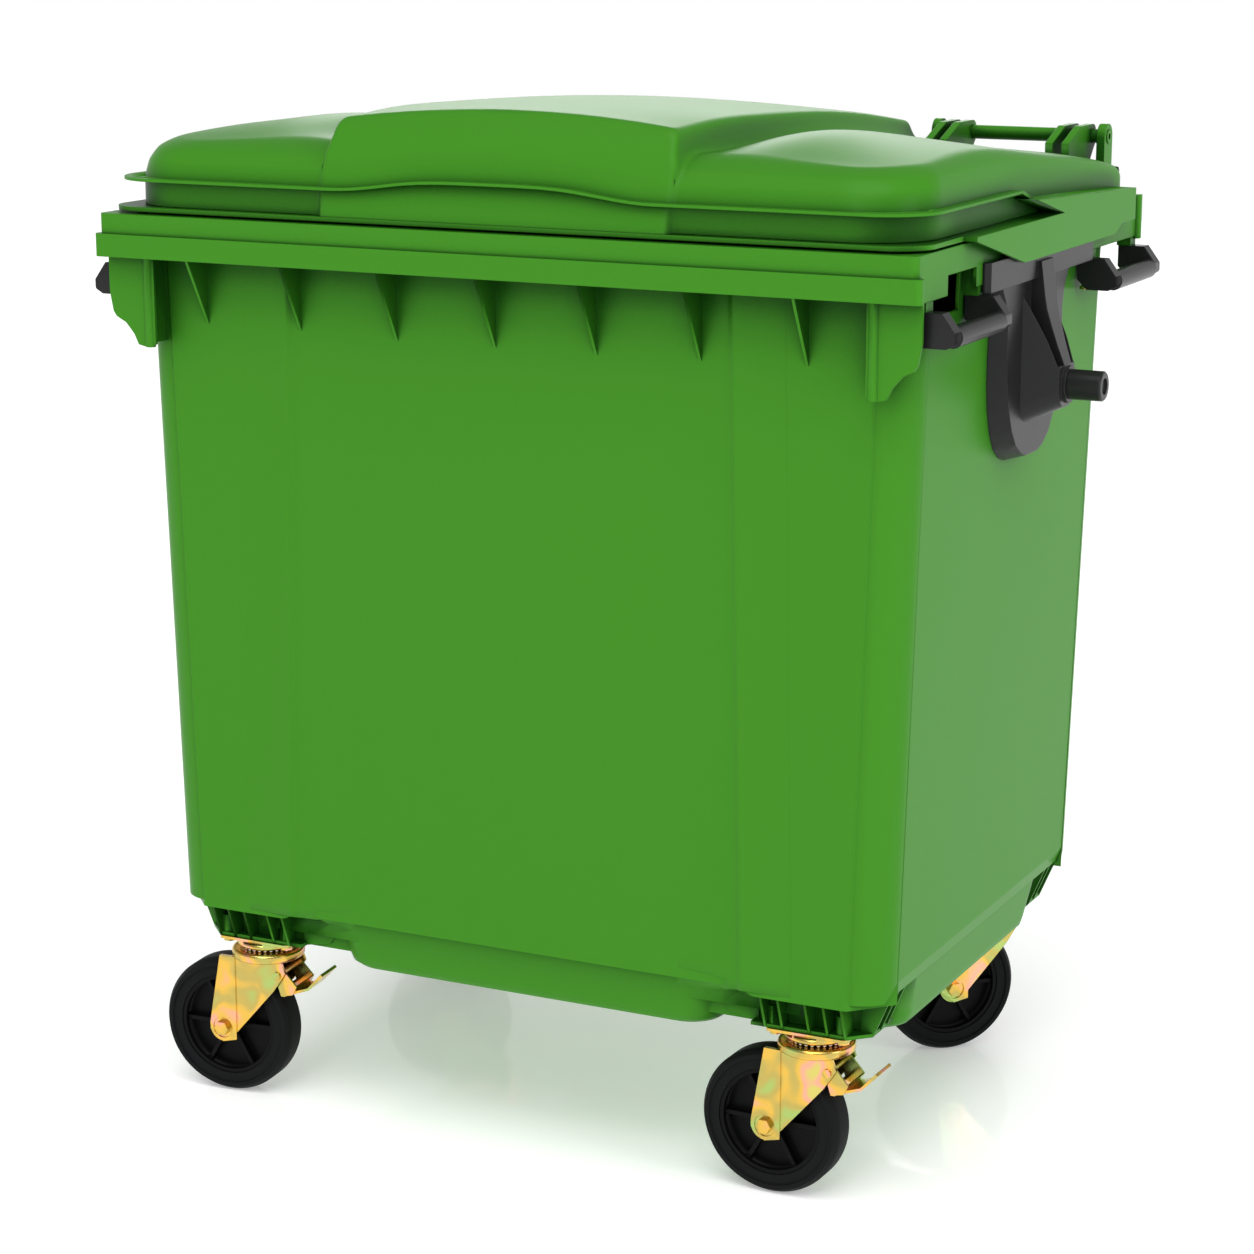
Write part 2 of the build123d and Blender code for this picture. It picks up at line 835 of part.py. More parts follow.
def dome_section(row, inset):
    """One cross-section of the dome, flared at its foot."""
    y_share, base_share, top_share, edge_share, centre_share, foot_share = row
    base = rim_top_z + lid_gap + flange_t
    depth = lid_rear_y - lid_front_y
    foot_x = lid_half_x * base_share - inset
    edge_x = lid_half_x * top_share - inset
    edge_z = base + dome_rise * edge_share - inset
    centre_z = base + dome_rise * centre_share - inset
    foot_z = base + dome_rise * foot_share - inset
    floor_z = base - overrun
    shoulder = (edge_x * dome_shoulder_share, edge_z + dome_shoulder_drop)
    middle_z = foot_z + (edge_z - foot_z) * dome_flare_z_share
    middle = (edge_x + (foot_x - edge_x) * dome_flare_x_share, middle_z)
    right = [shoulder, (edge_x, edge_z), middle, (foot_x, foot_z)]
    left = [(-x, z) for x, z in reversed(right)]
    outline = Spline(*right) + Spline(*left)
    outline += ThreePointArc(left[-1], (0, centre_z), right[0])
    outline += Polyline(right[-1], (foot_x, floor_z), (-foot_x, floor_z), left[0])
    place = Plane.XZ.offset(-(lid_front_y + y_share * depth))
    return place * make_face(outline.edges())


def dome(inset):
    """The high middle of the lid: a loft through flared sections, its front cut to lean."""
    base = rim_top_z + lid_gap + flange_t
    depth = lid_rear_y - lid_front_y
    shape = loft([dome_section(row, inset) for row in dome_section_shares])
    front = [
        (lid_front_y + a * depth + inset, base + b * dome_rise) for a, b in dome_front_shares
    ]
    top = base + dome_rise * dome_over_share
    rear = lid_rear_y - inset
    outline = Spline(*front)
    outline += Polyline(front[-1], (front[-1][0], top), (rear, top), (rear, front[0][1]), front[0])
    side = Plane.YZ.offset(-lid_half_x) * make_face(outline.edges())
    shape &= extrude(side, amount=lid_half_x + lid_half_x, dir=Axis.X.direction)
    low = base - overrun if inset else rim_top_z + lid_gap
    return shape & block(
        -lid_half_x, lid_half_x, lid_front_y - overrun, lid_rear_y, low, top
    )


def lip():
    """Thin grip lip: arched in front, running back along both ends and down to the flange."""
    base = rim_top_z + lid_gap + flange_t
    plan = rounded_prism(lip_half_x, -lip_front_y, lip_corner_r, base - flange_t, base + lobe_rise)
    arch = Spline(
        (-lip_arch_half, lip_z),
        (-lip_arch_half / 2, lip_z + lip_arch_rise * lip_arch_share),
        (0, lip_z + lip_arch_rise),
        (lip_arch_half / 2, lip_z + lip_arch_rise * lip_arch_share),
        (lip_arch_half, lip_z),
        tangents=((1, 0), (1, 0)),
    )
    upper = arch + Line((lip_arch_half, lip_z), (lip_half_x, lip_z))
    upper += Line((-lip_half_x, lip_z), (-lip_arch_half, lip_z))
    lower = Pos(0, -lip_t) * upper
    sides = Line((lip_half_x, lip_z), (lip_half_x, lip_z - lip_t))
    sides += Line((-lip_half_x, lip_z), (-lip_half_x, lip_z - lip_t))
    face = make_face((upper + lower + sides).edges())
    rear_y = lid_front_y + lid_corner_r
    reach = rear_y - lip_front_y
    front = extrude(Plane.XZ.offset(-lip_front_y) * face, amount=reach, dir=Axis.Y.direction)
    side = [
        (rear_y, lip_z),
        (lip_end_y, lip_z),
        (lip_foot_y + lip_t, base),
        (lip_foot_y + lip_t, base - flange_t),
        (lip_foot_y - lip_t, base - flange_t),
        (lip_foot_y - lip_t - lip_t, base),
        (lip_end_y - lip_t, lip_z - lip_t),
        (rear_y, lip_z - lip_t),
    ]
    run = prism_x(side, lid_half_x - lip_foot_in, lip_half_x)
    return (front + both_x(run)) & plan


def side_band():
    """Right-hand band that hangs over the rim and rises to the lid's end behind the lip."""
    low = rim_top_z + lid_gap
    base = low + flange_t
    in_x = lid_half_x - lid_wall - lid_wall
    wall = [
        (lip_foot_y, base),
        (lip_end_y + lip_t + lip_t, band_wall_front_z),
        (band_rear_y, band_wall_rear_z),
        (band_rear_y, low),
        (lip_foot_y, low),
    ]
    shelf = [(band_front_y, low), (band_front_y, base), (band_rear_y, base), (band_rear_y, low)]
    return prism_x(wall, in_x, band_out_x) + prism_x(shelf, in_x, band_out_x)


def band_hollow():
    """Hollow of the right-hand band, open below and towards the lid's inside."""
    front = lip_foot_y + band_t
    rear = band_rear_y - band_t
    low = rim_top_z - overrun
    points = [
        (front, low),
        (front, band_wall_rear_z - band_t),
        (rear, band_wall_rear_z - band_t),
        (rear, low),
    ]
    return prism_x(points, lid_half_x - lid_wall - lid_wall, band_out_x - band_t)


def band_skirt():
    """The hanging part of the right-hand band with its slanted and stepped ends."""
    base = rim_top_z + lid_gap + flange_t
    points = [
        (band_front_y, base),
        (band_front_y, rim_top_z + lid_gap),
        (band_low_front_y, band_low_z),
        (band_low_rear_y, band_low_z),
        (band_step_y, band_step_z),
        (band_rear_y, band_step_z),
        (band_rear_y, base),
    ]
    return prism_x(points, band_out_x - band_t, band_out_x)


def hinge_arm(x):
    """One arm of the lid that reaches back to the hinge rod."""
    points = [
        (hinge_y, hinge_z + arm_r),
        (arm_top_y, hinge_z + arm_r),
        (arm_toe_y, arm_toe_z),
        (arm_toe_y, arm_toe_low_z),
        (lid_rear_y - lid_wall, arm_root_z),
        (lid_rear_y, arm_root_z),
        (hinge_y + arm_r / 2, hinge_z - arm_r * arm_under_share),
    ]
    low = x - arm_t / 2
    shape = prism_x(points, low, low + arm_t) + rod_x(arm_r, low, low + arm_t, hinge_y, hinge_z)
    return shape


def lid_shell():
    """The one-piece moulded lid."""
    under = rim_top_z + lid_gap
    flange = rounded_prism(
        flange_half_x, flange_half_y, flange_corner_r, under, under + flange_t
    )
    shape = lobes(0) + dome(0) + flange + lip() + both_x(side_band())
    for x in arm_xs:
        shape += both_x(hinge_arm(x))
    inside = lobes(lid_wall) + dome(lid_wall) + both_x(band_hollow())
    shape -= inside
    shape += both_x(band_skirt())
    ream = rod_x(rod_r + arm_fit, ear_x_in, ear_x_out, hinge_y, hinge_z)
    shape -= both_x(ream)
    for x, y in stop_places():
        shape -= rod_z(stop_stem_r, under - overrun, under + stop_stem_len + stop_stem_spare, x, y)
    return shape


def hinge_rod():
    """Right-hand hinge rod, hollow at its ends."""
    low = ear_x_in - ear_t / 2 - rod_overhang
    high = ear_x_out + ear_t / 2 + rod_overhang
    rod = rod_x(rod_r, low, high, hinge_y, hinge_z)
    rod -= rod_x(rod_bore_r, low, low + rod_bore_depth, hinge_y, hinge_z)
    return rod - rod_x(rod_bore_r, high - rod_bore_depth, high, hinge_y, hinge_z)


def stop_places():
    """X and Y of the rubber stops."""
    return [(a * stop_x, b * stop_y) for a in (-1, 1) for b in (-1, 1)]


def lid_stops():
    """Rubber stops that the lid rests on the rim with."""
    under = rim_top_z + lid_gap
    stops = []
    for x, y in stop_places():
        pad = rod_z(stop_r, rim_top_z, under, x, y)
        stem = rod_z(stop_stem_r, under, under + stop_stem_len, x, y)
        stops.append(pad + stem)
    return stops


def web_sections(inset):
    """Wall outline and face outline of the bracket's web."""
    faces = []
    span_z = web_top_z - web_low_z
    for x, spread in ((web_root_x, web_root_spread), (web_face_x, 0)):
        right = []
        for a, b in web_outline_shares:
            more = spread - inset
            right.append((web_half_y * a + more, web_low_z + b * span_z - more * (1 - b)))
        left = [(-y, z) for y, z in reversed(right)]
        faces.append(Plane.YZ.offset(x) * Polygon(*(right + left)))
    return faces


def boss():
    """Pyramid that carries the pin, pocketed above on both sides of its middle rib."""
    outline = FilletPolyline(
        (-boss_half_y, boss_top_z),
        (-boss_half_y, boss_low_z),
        (boss_half_y, boss_low_z),
        (boss_half_y, boss_top_z),
        radius=boss_low_r,
    )
    outline += Line((boss_half_y, boss_top_z), (-boss_half_y, boss_top_z))
    root = Plane.YZ.offset(web_face_x - web_wall) * make_face(outline.edges())
    tip_outline = FilletPolyline(
        (-boss_tip_r, pin_z + boss_tip_r),
        (-boss_tip_r, pin_z - boss_tip_r),
        (boss_tip_r, pin_z - boss_tip_r),
        (boss_tip_r, pin_z + boss_tip_r),
        radius=boss_tip_r * boss_tip_share,
    )
    tip_outline += Line((boss_tip_r, pin_z + boss_tip_r), (-boss_tip_r, pin_z + boss_tip_r))
    tip = Plane.YZ.offset(collar_x) * make_face(tip_outline.edges())
    shape = loft([root, tip], ruled=True)
    pocket = [
        (-boss_half_y + pocket_gap, boss_top_z + overrun),
        (-boss_half_y + pocket_gap, boss_top_z),
        (-boss_tip_r - pocket_tip_gap, rib_tip_z),
        (boss_tip_r + pocket_tip_gap, rib_tip_z),
        (boss_half_y - pocket_gap, boss_top_z),
        (boss_half_y - pocket_gap, boss_top_z + overrun),
    ]
    shape -= prism_x(pocket, web_face_x, collar_x + overrun)
    rib = [
        (web_face_x - web_wall, rib_plate_z),
        (web_face_x - web_wall, pin_z),
        (rib_tip_x, pin_z),
    ]
    for a, b in reversed(rib_curve_shares):
        x = rib_top_x + a * (rib_tip_x - rib_top_x)
        rib.append((x, rib_knee_z + b * (rib_tip_z - rib_knee_z)))
    rib.append((rib_plate_x, rib_plate_z))
    plan = [
        (rib_half_y, rib_plate_z),
        (rib_half_y, rib_knee_z),
        (rib_tip_half_y, rib_tip_z),
        (rib_tip_half_y, pin_z),
    ]
    shape += prism_y(rib, -rib_half_y, rib_half_y) & prism_x(both_ways(plan), web_root_x, pin_tip_x)
    return shape + rod_x(collar_r, collar_x - collar_len, collar_x + collar_len, 0, pin_z)


def lift_bracket(tub_outside):
    """Right-hand lift bracket, seated on the tub's end wall and on the rim."""
    plate = prism_x(
        [
            (-top_plate_half_y, top_plate_low_z),
            (-top_plate_half_y, top_plate_high_z),
            (top_plate_half_y, top_plate_high_z),
            (top_plate_half_y, top_plate_low_z),
        ],
        rim_half_x,
        top_plate_out_x,
    )
    plate = chamfer(
        plate.edges().filter_by(Axis.Z).group_by(Axis.X)[-1], top_plate_chamfer
    )
    web = loft(web_sections(0), ruled=True)
    hollow = loft(web_sections(web_wall), ruled=True)
    hollow &= block(
        web_root_x - overrun,
        web_face_x - web_wall,
        -web_half_y - overrun,
        web_half_y + overrun,
        web_low_z,
        top_plate_low_z - web_wall,
    )
    for side in (-1, 1):
        y = side * rib_half_y
        hollow -= block(
            web_root_x - overrun,
            web_face_x,
            y - web_wall / 2,
            y + web_wall / 2,
            web_low_z,
            top_plate_low_z,
        )
    for y, z in bracket_bolt_places():
        hollow -= rod_x(bracket_boss_r, web_root_x - overrun, web_face_x, y, z)
    hollow -= rod_x(pin_r + web_wall, web_root_x - overrun, web_face_x, 0, pin_z)
    shape = plate + web - hollow + boss()
    shape -= tub_outside
    skirt_low = rim_top_z - rim_skirt_h
    shape -= block(
        web_root_x - overrun,
        rim_half_x,
        -web_half_y - overrun - overrun,
        web_half_y + overrun + overrun,
        skirt_low,
        rim_top_z,
    )
    for y, z in bracket_bolt_places():
        shape -= rod_x(bracket_bolt_r, web_root_x - overrun, bracket_bolt_tip(z), y, z)
    return shape - rod_x(pin_seat_r, collar_x - pin_seat_depth, pin_tip_x, 0, pin_z)


def bracket_bolt_tip(z):
    """How far out a bracket bolt reaches."""
    return tub_side_x(z) - tub_wall + bracket_bolt_len


def lift_pin():
    """Right-hand lift pin with the shallow recess in its end."""
    pin = rod_x(pin_r, collar_x + collar_len, pin_tip_x, 0, pin_z)
    pin = chamfer(pin.edges().group_by(Axis.X)[-1], pin_chamfer)
    pin += rod_x(pin_seat_r, collar_x - pin_seat_depth, collar_x + collar_len, 0, pin_z)
    return pin - rod_x(pin_bore_r, pin_tip_x - pin_bore_depth, pin_tip_x, 0, pin_z)


def bracket_bolts():
    """Bolts of both brackets, their heads inside the tub."""
    bolts = []
    for y, z in bracket_bolt_places():
        wall_x = tub_side_x(z) - tub_wall
        slope = (tub_top_half_x - crease_half_x) / (rim_top_z - crease_z)
        seat = wall_x - slope * bracket_head_r
        bolt = rod_x(bracket_bolt_r, seat, bracket_bolt_tip(z), y, z)
        bolt += rod_x(bracket_head_r, seat - bracket_head_h, seat, y, z)
        bolts.append(bolt)
        bolts.append(mirror(bolt, about=Plane.YZ))
    return bolts


def grip(start_y):
    """One right-hand side grip: two end plates and the bar between them."""
    outline = [
        (grip_in_x, grip_seat_z),
        (grip_top_out_x, grip_seat_z),
        (grip_bar_x + grip_bar_r * grip_face_share, grip_bar_z + grip_bar_r * grip_face_high_share),
        (grip_bar_x + grip_bar_r * grip_face_share, grip_bar_z - grip_bar_r * grip_face_low_share),
        (grip_bar_x, grip_low_z),
        (grip_in_x + grip_bar_r, grip_low_z),
        (grip_in_x, grip_low_z + grip_bar_r),
    ]
    shape = None
    for y in (start_y, start_y + grip_len - grip_wall):
        plate = prism_y(outline, y, y + grip_wall)
        plate = fillet(plate.edges().filter_by(Axis.Y).group_by(Axis.X)[-1], grip_bar_r * grip_soft_share)
        middle = y + grip_wall / 2
        plate -= rod_z(grip_screw_r, grip_low_z, grip_seat_z, grip_screw_x, middle)
        plate -= rod_z(grip_head_r, grip_low_z, grip_low_z + grip_head_h, grip_screw_x, middle)
        shape = plate if shape is None else shape + plate
    low = start_y + grip_wall
    high = start_y + grip_len - grip_wall
    return shape + rod_y(grip_bar_r, low, high, grip_bar_x, grip_bar_z)


def grip_screws():
    """Screws that hold the four grips up against their tabs."""
    screws = []
    head_top = grip_low_z + grip_head_h
    for y in grip_tab_places():
        screw = rod_z(grip_screw_r, grip_low_z, head_top + grip_screw_len, grip_screw_x, y)
        screw += rod_z(grip_head_r, grip_low_z, head_top, grip_screw_x, y)
        screws.append(screw)
        screws.append(mirror(screw, about=Plane.YZ))
    return screws


def tyre():
    """Rubber tyre about the wheel axis, stepped on both flanks."""
    half = wheel_w / 2
    step = tyre_step_w / 2
    points = [
        (tyre_bore_r, -step),
        (tyre_step_r, -step),
        (tyre_step_r, -half),
        (wheel_r - tyre_crown - tyre_crown, -half),
        (wheel_r, -half * tyre_flat_share),
        (wheel_r, half * tyre_flat_share),
        (wheel_r - tyre_crown - tyre_crown, half),
        (tyre_step_r, half),
        (tyre_step_r, step),
        (tyre_bore_r, step),
    ]
    return revolve(Plane.XY * Polygon(*points), Axis.Y)


def wheel_rim():
    """Plastic wheel centre: ring, hub, thin disc and spokes on both faces."""
    ring = rod_y(tyre_bore_r, -rim_w / 2, rim_w / 2, 0, 0)
    ring -= rod_y(tyre_bore_r - rim_ring_t, -rim_w, rim_w, 0, 0)
    shape = ring + rod_y(tyre_bore_r - rim_ring_t / 2, -disc_t / 2, disc_t / 2, 0, 0)
    shape += rod_y(hub_r, -hub_w / 2, hub_w / 2, 0, 0)
    spoke = block(
        hub_r / 2,
        tyre_bore_r - rim_ring_t / 2,
        -spoke_depth / 2,
        spoke_depth / 2,
        -spoke_w / 2,
        spoke_w / 2,
    )
    for index in range(spoke_count):
        shape += Rot(0, 360 / spoke_count * index, 0) * spoke
    return shape - rod_y(tube_r + hub_fit, -hub_w, hub_w, 0, 0)


def axle_tube():
    """Steel tube clamped between the fork cheeks, on which the hub turns."""
    tube = rod_y(tube_r, -tube_len / 2, tube_len / 2, 0, 0)
    return tube - rod_y(axle_r, -tube_len, tube_len, 0, 0)


def hexagon_y(width, low, high):
    """Hexagon prism along Y with a given width across its flats."""
    face = Plane.XZ.offset(-high) * RegularPolygon(width / 2, 6, major_radius=False)
    return extrude(face, amount=high - low)


def hexagon_z(width, low, high, x, y):
    """Hexagon prism along Z with a given width across its flats."""
    face = Plane.XY.offset(low) * Pos(x, y) * RegularPolygon(width / 2, 6, major_radius=False)
    return extrude(face, amount=high - low)


def fork_outside():
    """Distance of a fork cheek's outer face from the wheel's middle plane."""
    return tube_len / 2 + cheek_plate_t


def axle_bolt():
    """Axle bolt with its hexagon head on the front side."""
    out = fork_outside()
    bolt = rod_y(axle_r, -out, out + axle_nut_h + axle_spare, 0, 0)
    return bolt + hexagon_y(axle_head_w, -out - axle_head_h, -out)


def axle_nut():
    """Nut on the axle bolt."""
    low = fork_outside()
    high = low + axle_nut_h
    return hexagon_y(axle_head_w, low, high) - rod_y(axle_r, low, high, 0, 0)


def fork():
    """Pressed fork: race ring, crown and two cheeks with a bent strip on the axle side."""
    half = tube_len / 2
    foot_x = -trail
    strip_x = foot_x + fork_strip_in
    foot = [
        (foot_x + a * fork_foot_r, wheel_r + b * fork_foot_r) for a, b in fork_foot_shares
    ]
    ring = rod_z(fork_ring_r, fork_ring_low_z, fork_ring_high_z, 0, 0)
    ring = fillet(ring.edges().filter_by(GeomType.CIRCLE), fork_ring_edge_r)
    inner_r = half + cheek_plate_t
    ring -= rod_z(inner_r, fork_ring_low_z, fork_ring_high_z - fork_crown_t, 0, 0)
    outline = [
        foot[0],
        (foot_x - fork_strip_top_in, fork_strip_top_z),
        (strip_x, fork_strip_top_z),
        (strip_x, fork_ring_high_z - fork_ring_edge_r),
        (fork_shoulder_x * fork_crown_share, fork_ring_high_z - fork_ring_edge_r),
        (fork_shoulder_x, fork_shoulder_z),
        (fork_knee_x, fork_knee_z),
        foot[1],
        foot[2],
    ]
    shape = ring
    cheek_plate = prism_y(outline, half, half + cheek_plate_t)
    cheek_plate += rod_y(fork_foot_r, half, half + cheek_plate_t, foot_x, wheel_r)
    strip = [outline[0], outline[1], outline[2], (strip_x, foot[3][1])]
    strip += [(foot_x, wheel_r - fork_foot_r), foot[2]]
    cheek_plate += prism_y(strip, half + cheek_plate_t / 2, half + cheek_plate_t + fork_bend_t)
    shape += both_y(cheek_plate)
    seat = rod_y(axle_head_w * axle_seat_share, half + cheek_plate_t, half + overrun, foot_x, wheel_r)
    shape -= both_y(seat)
    shape -= rod_y(axle_r, -half - overrun, half + overrun, foot_x, wheel_r)
    low = fork_ring_low_z - overrun
    return shape - rod_z(king_r + king_fit, low, fork_ring_high_z + overrun, 0, 0)


def top_plate():
    """Caster top plate with its upper race ring."""
    low = pan_z - plate_t
    plate = rounded_prism(plate_half_x, plate_half_y, plate_corner_r, low, pan_z)
    race = rod_z(race_r, race_low_z, low, 0, 0)
    race = fillet(race.edges().filter_by(GeomType.CIRCLE).group_by(Axis.Z)[0], race_edge_r)
    plate += race
    for x in (-bolt_x, bolt_x):
        for y in (-bolt_y, bolt_y):
            plate -= rod_z(bolt_r + bolt_fit, low - plate_t, pan_z, x, y)
    return plate - rod_z(king_r, race_low_z, pan_z, 0, 0)


def king_pin():
    """Rivet that holds the fork to the top plate."""
    crown_low = fork_ring_high_z - fork_crown_t - king_gap
    pin = rod_z(king_r, crown_low, pan_z - king_gap, 0, 0)
    return pin + rod_z(king_head_r, crown_low - king_head_h, crown_low, 0, 0)


def brake_pedal():
    """Brake pedal: two arms on the pivot, the shoe in front of the tyre and the bent tread."""
    outline = [
        (pedal_pivot_x - pedal_eye_r, pedal_pivot_z),
        (pedal_pivot_x - pedal_eye_r, pedal_pivot_z + pedal_eye_r),
        (pedal_pivot_x + pedal_eye_r, pedal_pivot_z + pedal_eye_r),
        (pedal_arm_out_x, pedal_arm_out_z),
        (pedal_arm_low_x, pedal_arm_low_z),
        (shoe_x, shoe_z),
    ]
    shape = both_y(prism_y(outline, pedal_half_y - pedal_t, pedal_half_y))
    bend_x, bend_z = pedal_bend_shares
    tread = [
        (pedal_arm_low_x, pedal_arm_low_z),
        (pedal_heel_x, pedal_heel_z),
        (pedal_tip_x, pedal_tip_z),
        (pedal_tip_x - pedal_t, pedal_tip_z + pedal_t),
        (pedal_heel_x - pedal_t * bend_x, pedal_heel_z + pedal_t * bend_z),
        (pedal_arm_low_x - pedal_t, pedal_arm_low_z + pedal_t),
    ]
    shape += prism_y(tread, -pedal_tip_half_y, pedal_tip_half_y)
    heel = [
        (pedal_arm_low_x - pedal_t, pedal_arm_low_z),
        (pedal_arm_low_x, pedal_arm_low_z),
        (pedal_arm_out_x, pedal_arm_out_z),
        (pedal_arm_out_x - pedal_t, pedal_arm_out_z),
    ]
    shape += prism_y(heel, -pedal_half_y, pedal_half_y)
    shape += block(
        shoe_x, shoe_x + shoe_w, -pedal_half_y, pedal_half_y, shoe_z, shoe_z + shoe_h
    )
    bore = rod_y(pedal_pin_r + pedal_fit, -overrun, overrun, pedal_pivot_x, pedal_pivot_z)
    return shape - bore


def pedal_pin():
    """Pivot pin of the brake pedal, riveted over both fork cheeks."""
    out = fork_outside()
    pin = rod_y(pedal_pin_r, -out, out, pedal_pivot_x, pedal_pivot_z)
    for side in (-1, 1):
        ends = sorted((side * out, side * (out + pedal_pin_head_h)))
        pin += rod_y(pedal_pin_head_r, ends[0], ends[1], pedal_pivot_x, pedal_pivot_z)
    return pin


def caster_parts(braked):
    """All pieces of one caster about its own swivel axis, the wheel trailing to -X."""
    fork_shape = fork()
    wheel = Pos(-trail, 0, wheel_r)
    pieces = {
        "fork": fork_shape,
        "wheel_rim": wheel * wheel_rim(),
        "tyre": wheel * tyre(),
        "axle_tube": wheel * axle_tube(),
        "axle_bolt": wheel * axle_bolt(),
        "axle_nut": wheel * axle_nut(),
    }
    if braked:
        out = fork_outside()
        hole = rod_y(pedal_pin_r, -out, out, pedal_pivot_x, pedal_pivot_z)
        pieces["fork"] = fork_shape - hole
        pieces["brake_pedal"] = brake_pedal()
        pieces["brake_pin"] = pedal_pin()
    return pieces


def caster_bolts():
    """Hexagon bolts that hold the casters, heads below the top plates."""
    bolts = []
    low = pan_z - plate_t
    for side_x in (-1, 1):
        for side_y in (-1, 1):
            for x, y in caster_bolt_places(side_x, side_y):
                bolt = rod_z(bolt_r, low, pan_z + bolt_grip, x, y)
                bolts.append(bolt + hexagon_z(bolt_head_w, low - bolt_head_h, low, x, y))
    return bolts


def drain_plug():
    """Quarter-turn drain plug with a bar to turn it by."""
    seat = well_z - drain_seal_t
    plug = rod_z(drain_flange_r, seat - drain_flange_h, seat, 0, drain_y)
    plug += rod_z(drain_neck_r, seat, seat + drain_neck_h, 0, drain_y)
    bar = block(
        -drain_grip_len / 2,
        drain_grip_len / 2,
        drain_y - drain_grip_w / 2,
        drain_y + drain_grip_w / 2,
        seat - drain_flange_h - drain_grip_h,
        seat - drain_flange_h,
    )
    return plug + bar


def drain_seal():
    """Flat seal ring between plug and floor."""
    ring = rod_z(drain_seal_r, well_z - drain_seal_t, well_z, 0, drain_y)
    return ring - rod_z(drain_neck_r, well_z - drain_seal_t, well_z, 0, drain_y)


def save(name, shape):
    """Write one node; a list becomes a group of separate solids."""
    solids = []
    for piece in shape if isinstance(shape, list) else [shape]:
        solids += list(piece.solids())
    export_step(Compound(children=solids), f"parts/{name}.step")


def main():
    tub_outside = tub(0, ledge_z)
    save("container_body", container_body())
    save("lid_shell", lid_shell())
    save("lid_stops", lid_stops())
    rod = hinge_rod()
    save("hinge_rod_right", rod)
    save("hinge_rod_left", mirror(rod, about=Plane.YZ))
    bracket = lift_bracket(tub_outside)
    save("lift_bracket_right", bracket)
    save("lift_bracket_left", mirror(bracket, about=Plane.YZ))
    pin = lift_pin()
    save("lift_pin_right", pin)
    save("lift_pin_left", mirror(pin, about=Plane.YZ))
    save("bracket_bolts", bracket_bolts())
    for place, start_y in (("front", grip_front_y), ("rear", grip_rear_y)):
        shape = grip(start_y)
        save(f"grip_{place}_right", shape)
        save(f"grip_{place}_left", mirror(shape, about=Plane.YZ))
    save("grip_screws", grip_screws())
    casters = (
        ("front_right", 1, -1, front_right_turn),
        ("front_left", -1, -1, front_left_turn),
        ("rear_right", 1, 1, rear_right_turn),
        ("rear_left", -1, 1, rear_left_turn),
    )
    for name, side_x, side_y, turn in casters:
        spot = Pos(side_x * swivel_x, side_y * swivel_y, 0)
        save(f"top_plate_{name}", spot * top_plate())
        save(f"king_pin_{name}", spot * king_pin())
        for piece, shape in caster_parts(side_y < 0).items():
            save(f"{piece}_{name}", spot * Rot(0, 0, turn) * shape)
    save("caster_bolts", caster_bolts())
    save("drain_plug", drain_plug())
    save("drain_seal", drain_seal())


main()
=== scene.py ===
"""Looks of the four-wheeled waste container: materials, fine pieces, floor, light and camera."""

import json
import math

import bmesh
import bpy
import numpy as np
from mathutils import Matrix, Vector
from mathutils.bvhtree import BVHTree

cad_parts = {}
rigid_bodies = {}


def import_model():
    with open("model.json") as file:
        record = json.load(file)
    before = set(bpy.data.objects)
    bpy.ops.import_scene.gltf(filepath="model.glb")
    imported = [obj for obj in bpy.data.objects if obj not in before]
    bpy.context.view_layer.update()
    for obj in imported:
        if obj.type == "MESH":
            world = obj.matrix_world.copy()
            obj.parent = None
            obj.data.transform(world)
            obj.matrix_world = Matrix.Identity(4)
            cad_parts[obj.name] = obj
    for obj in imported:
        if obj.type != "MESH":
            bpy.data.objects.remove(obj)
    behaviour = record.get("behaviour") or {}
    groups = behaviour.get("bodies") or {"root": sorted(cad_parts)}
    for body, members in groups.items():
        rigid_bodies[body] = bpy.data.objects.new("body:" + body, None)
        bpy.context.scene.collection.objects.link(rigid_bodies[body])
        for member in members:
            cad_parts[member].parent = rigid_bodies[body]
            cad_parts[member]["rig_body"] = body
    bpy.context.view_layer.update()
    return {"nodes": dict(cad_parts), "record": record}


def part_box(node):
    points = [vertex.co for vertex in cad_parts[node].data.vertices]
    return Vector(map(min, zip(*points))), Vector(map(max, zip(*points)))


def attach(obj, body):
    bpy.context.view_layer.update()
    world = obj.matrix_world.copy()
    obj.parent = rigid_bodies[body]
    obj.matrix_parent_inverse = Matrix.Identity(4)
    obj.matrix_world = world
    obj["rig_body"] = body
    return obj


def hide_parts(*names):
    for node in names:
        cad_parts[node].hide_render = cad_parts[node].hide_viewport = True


bl_info = {
    "name": "Waste container looks",
    "version": (1, 0, 0),
    "blender": (4, 5, 0),
    "location": "View3D > Sidebar > Container",
    "description": "Dresses the packed waste container and sets its stage",
    "category": "Object",
}

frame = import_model()

CASTERS = ("front_right", "front_left", "rear_right", "rear_left")
SIDES = ("right", "left")
MM = 1000.0

# Plastics and rubber: roughness, specular level and grain (scale, strength, depth)
GREEN_LOOK = (0.36, 0.08, (420.0, 0.05, 0.0004))
BLACK_LOOK = (0.30, 0.2, (600.0, 0.12, 0.0004))
WHEEL_LOOK = (0.42, 0.1, (600.0, 0.12, 0.0004))
TYRE_LOOK = (0.6, 0.07, (300.0, 0.2, 0.0005))
STOP_LOOK = (0.7, 0.5, (500.0, 0.1, 0.0003))

# Zinc plating: grain as above, then roughness and spread of the tinted film
ZINC_GRAIN = (900.0, 0.05, 0.0002)
BOLT_ZINC = (0.28, 30.0)
SHEET_ZINC = (0.24, 22.0)

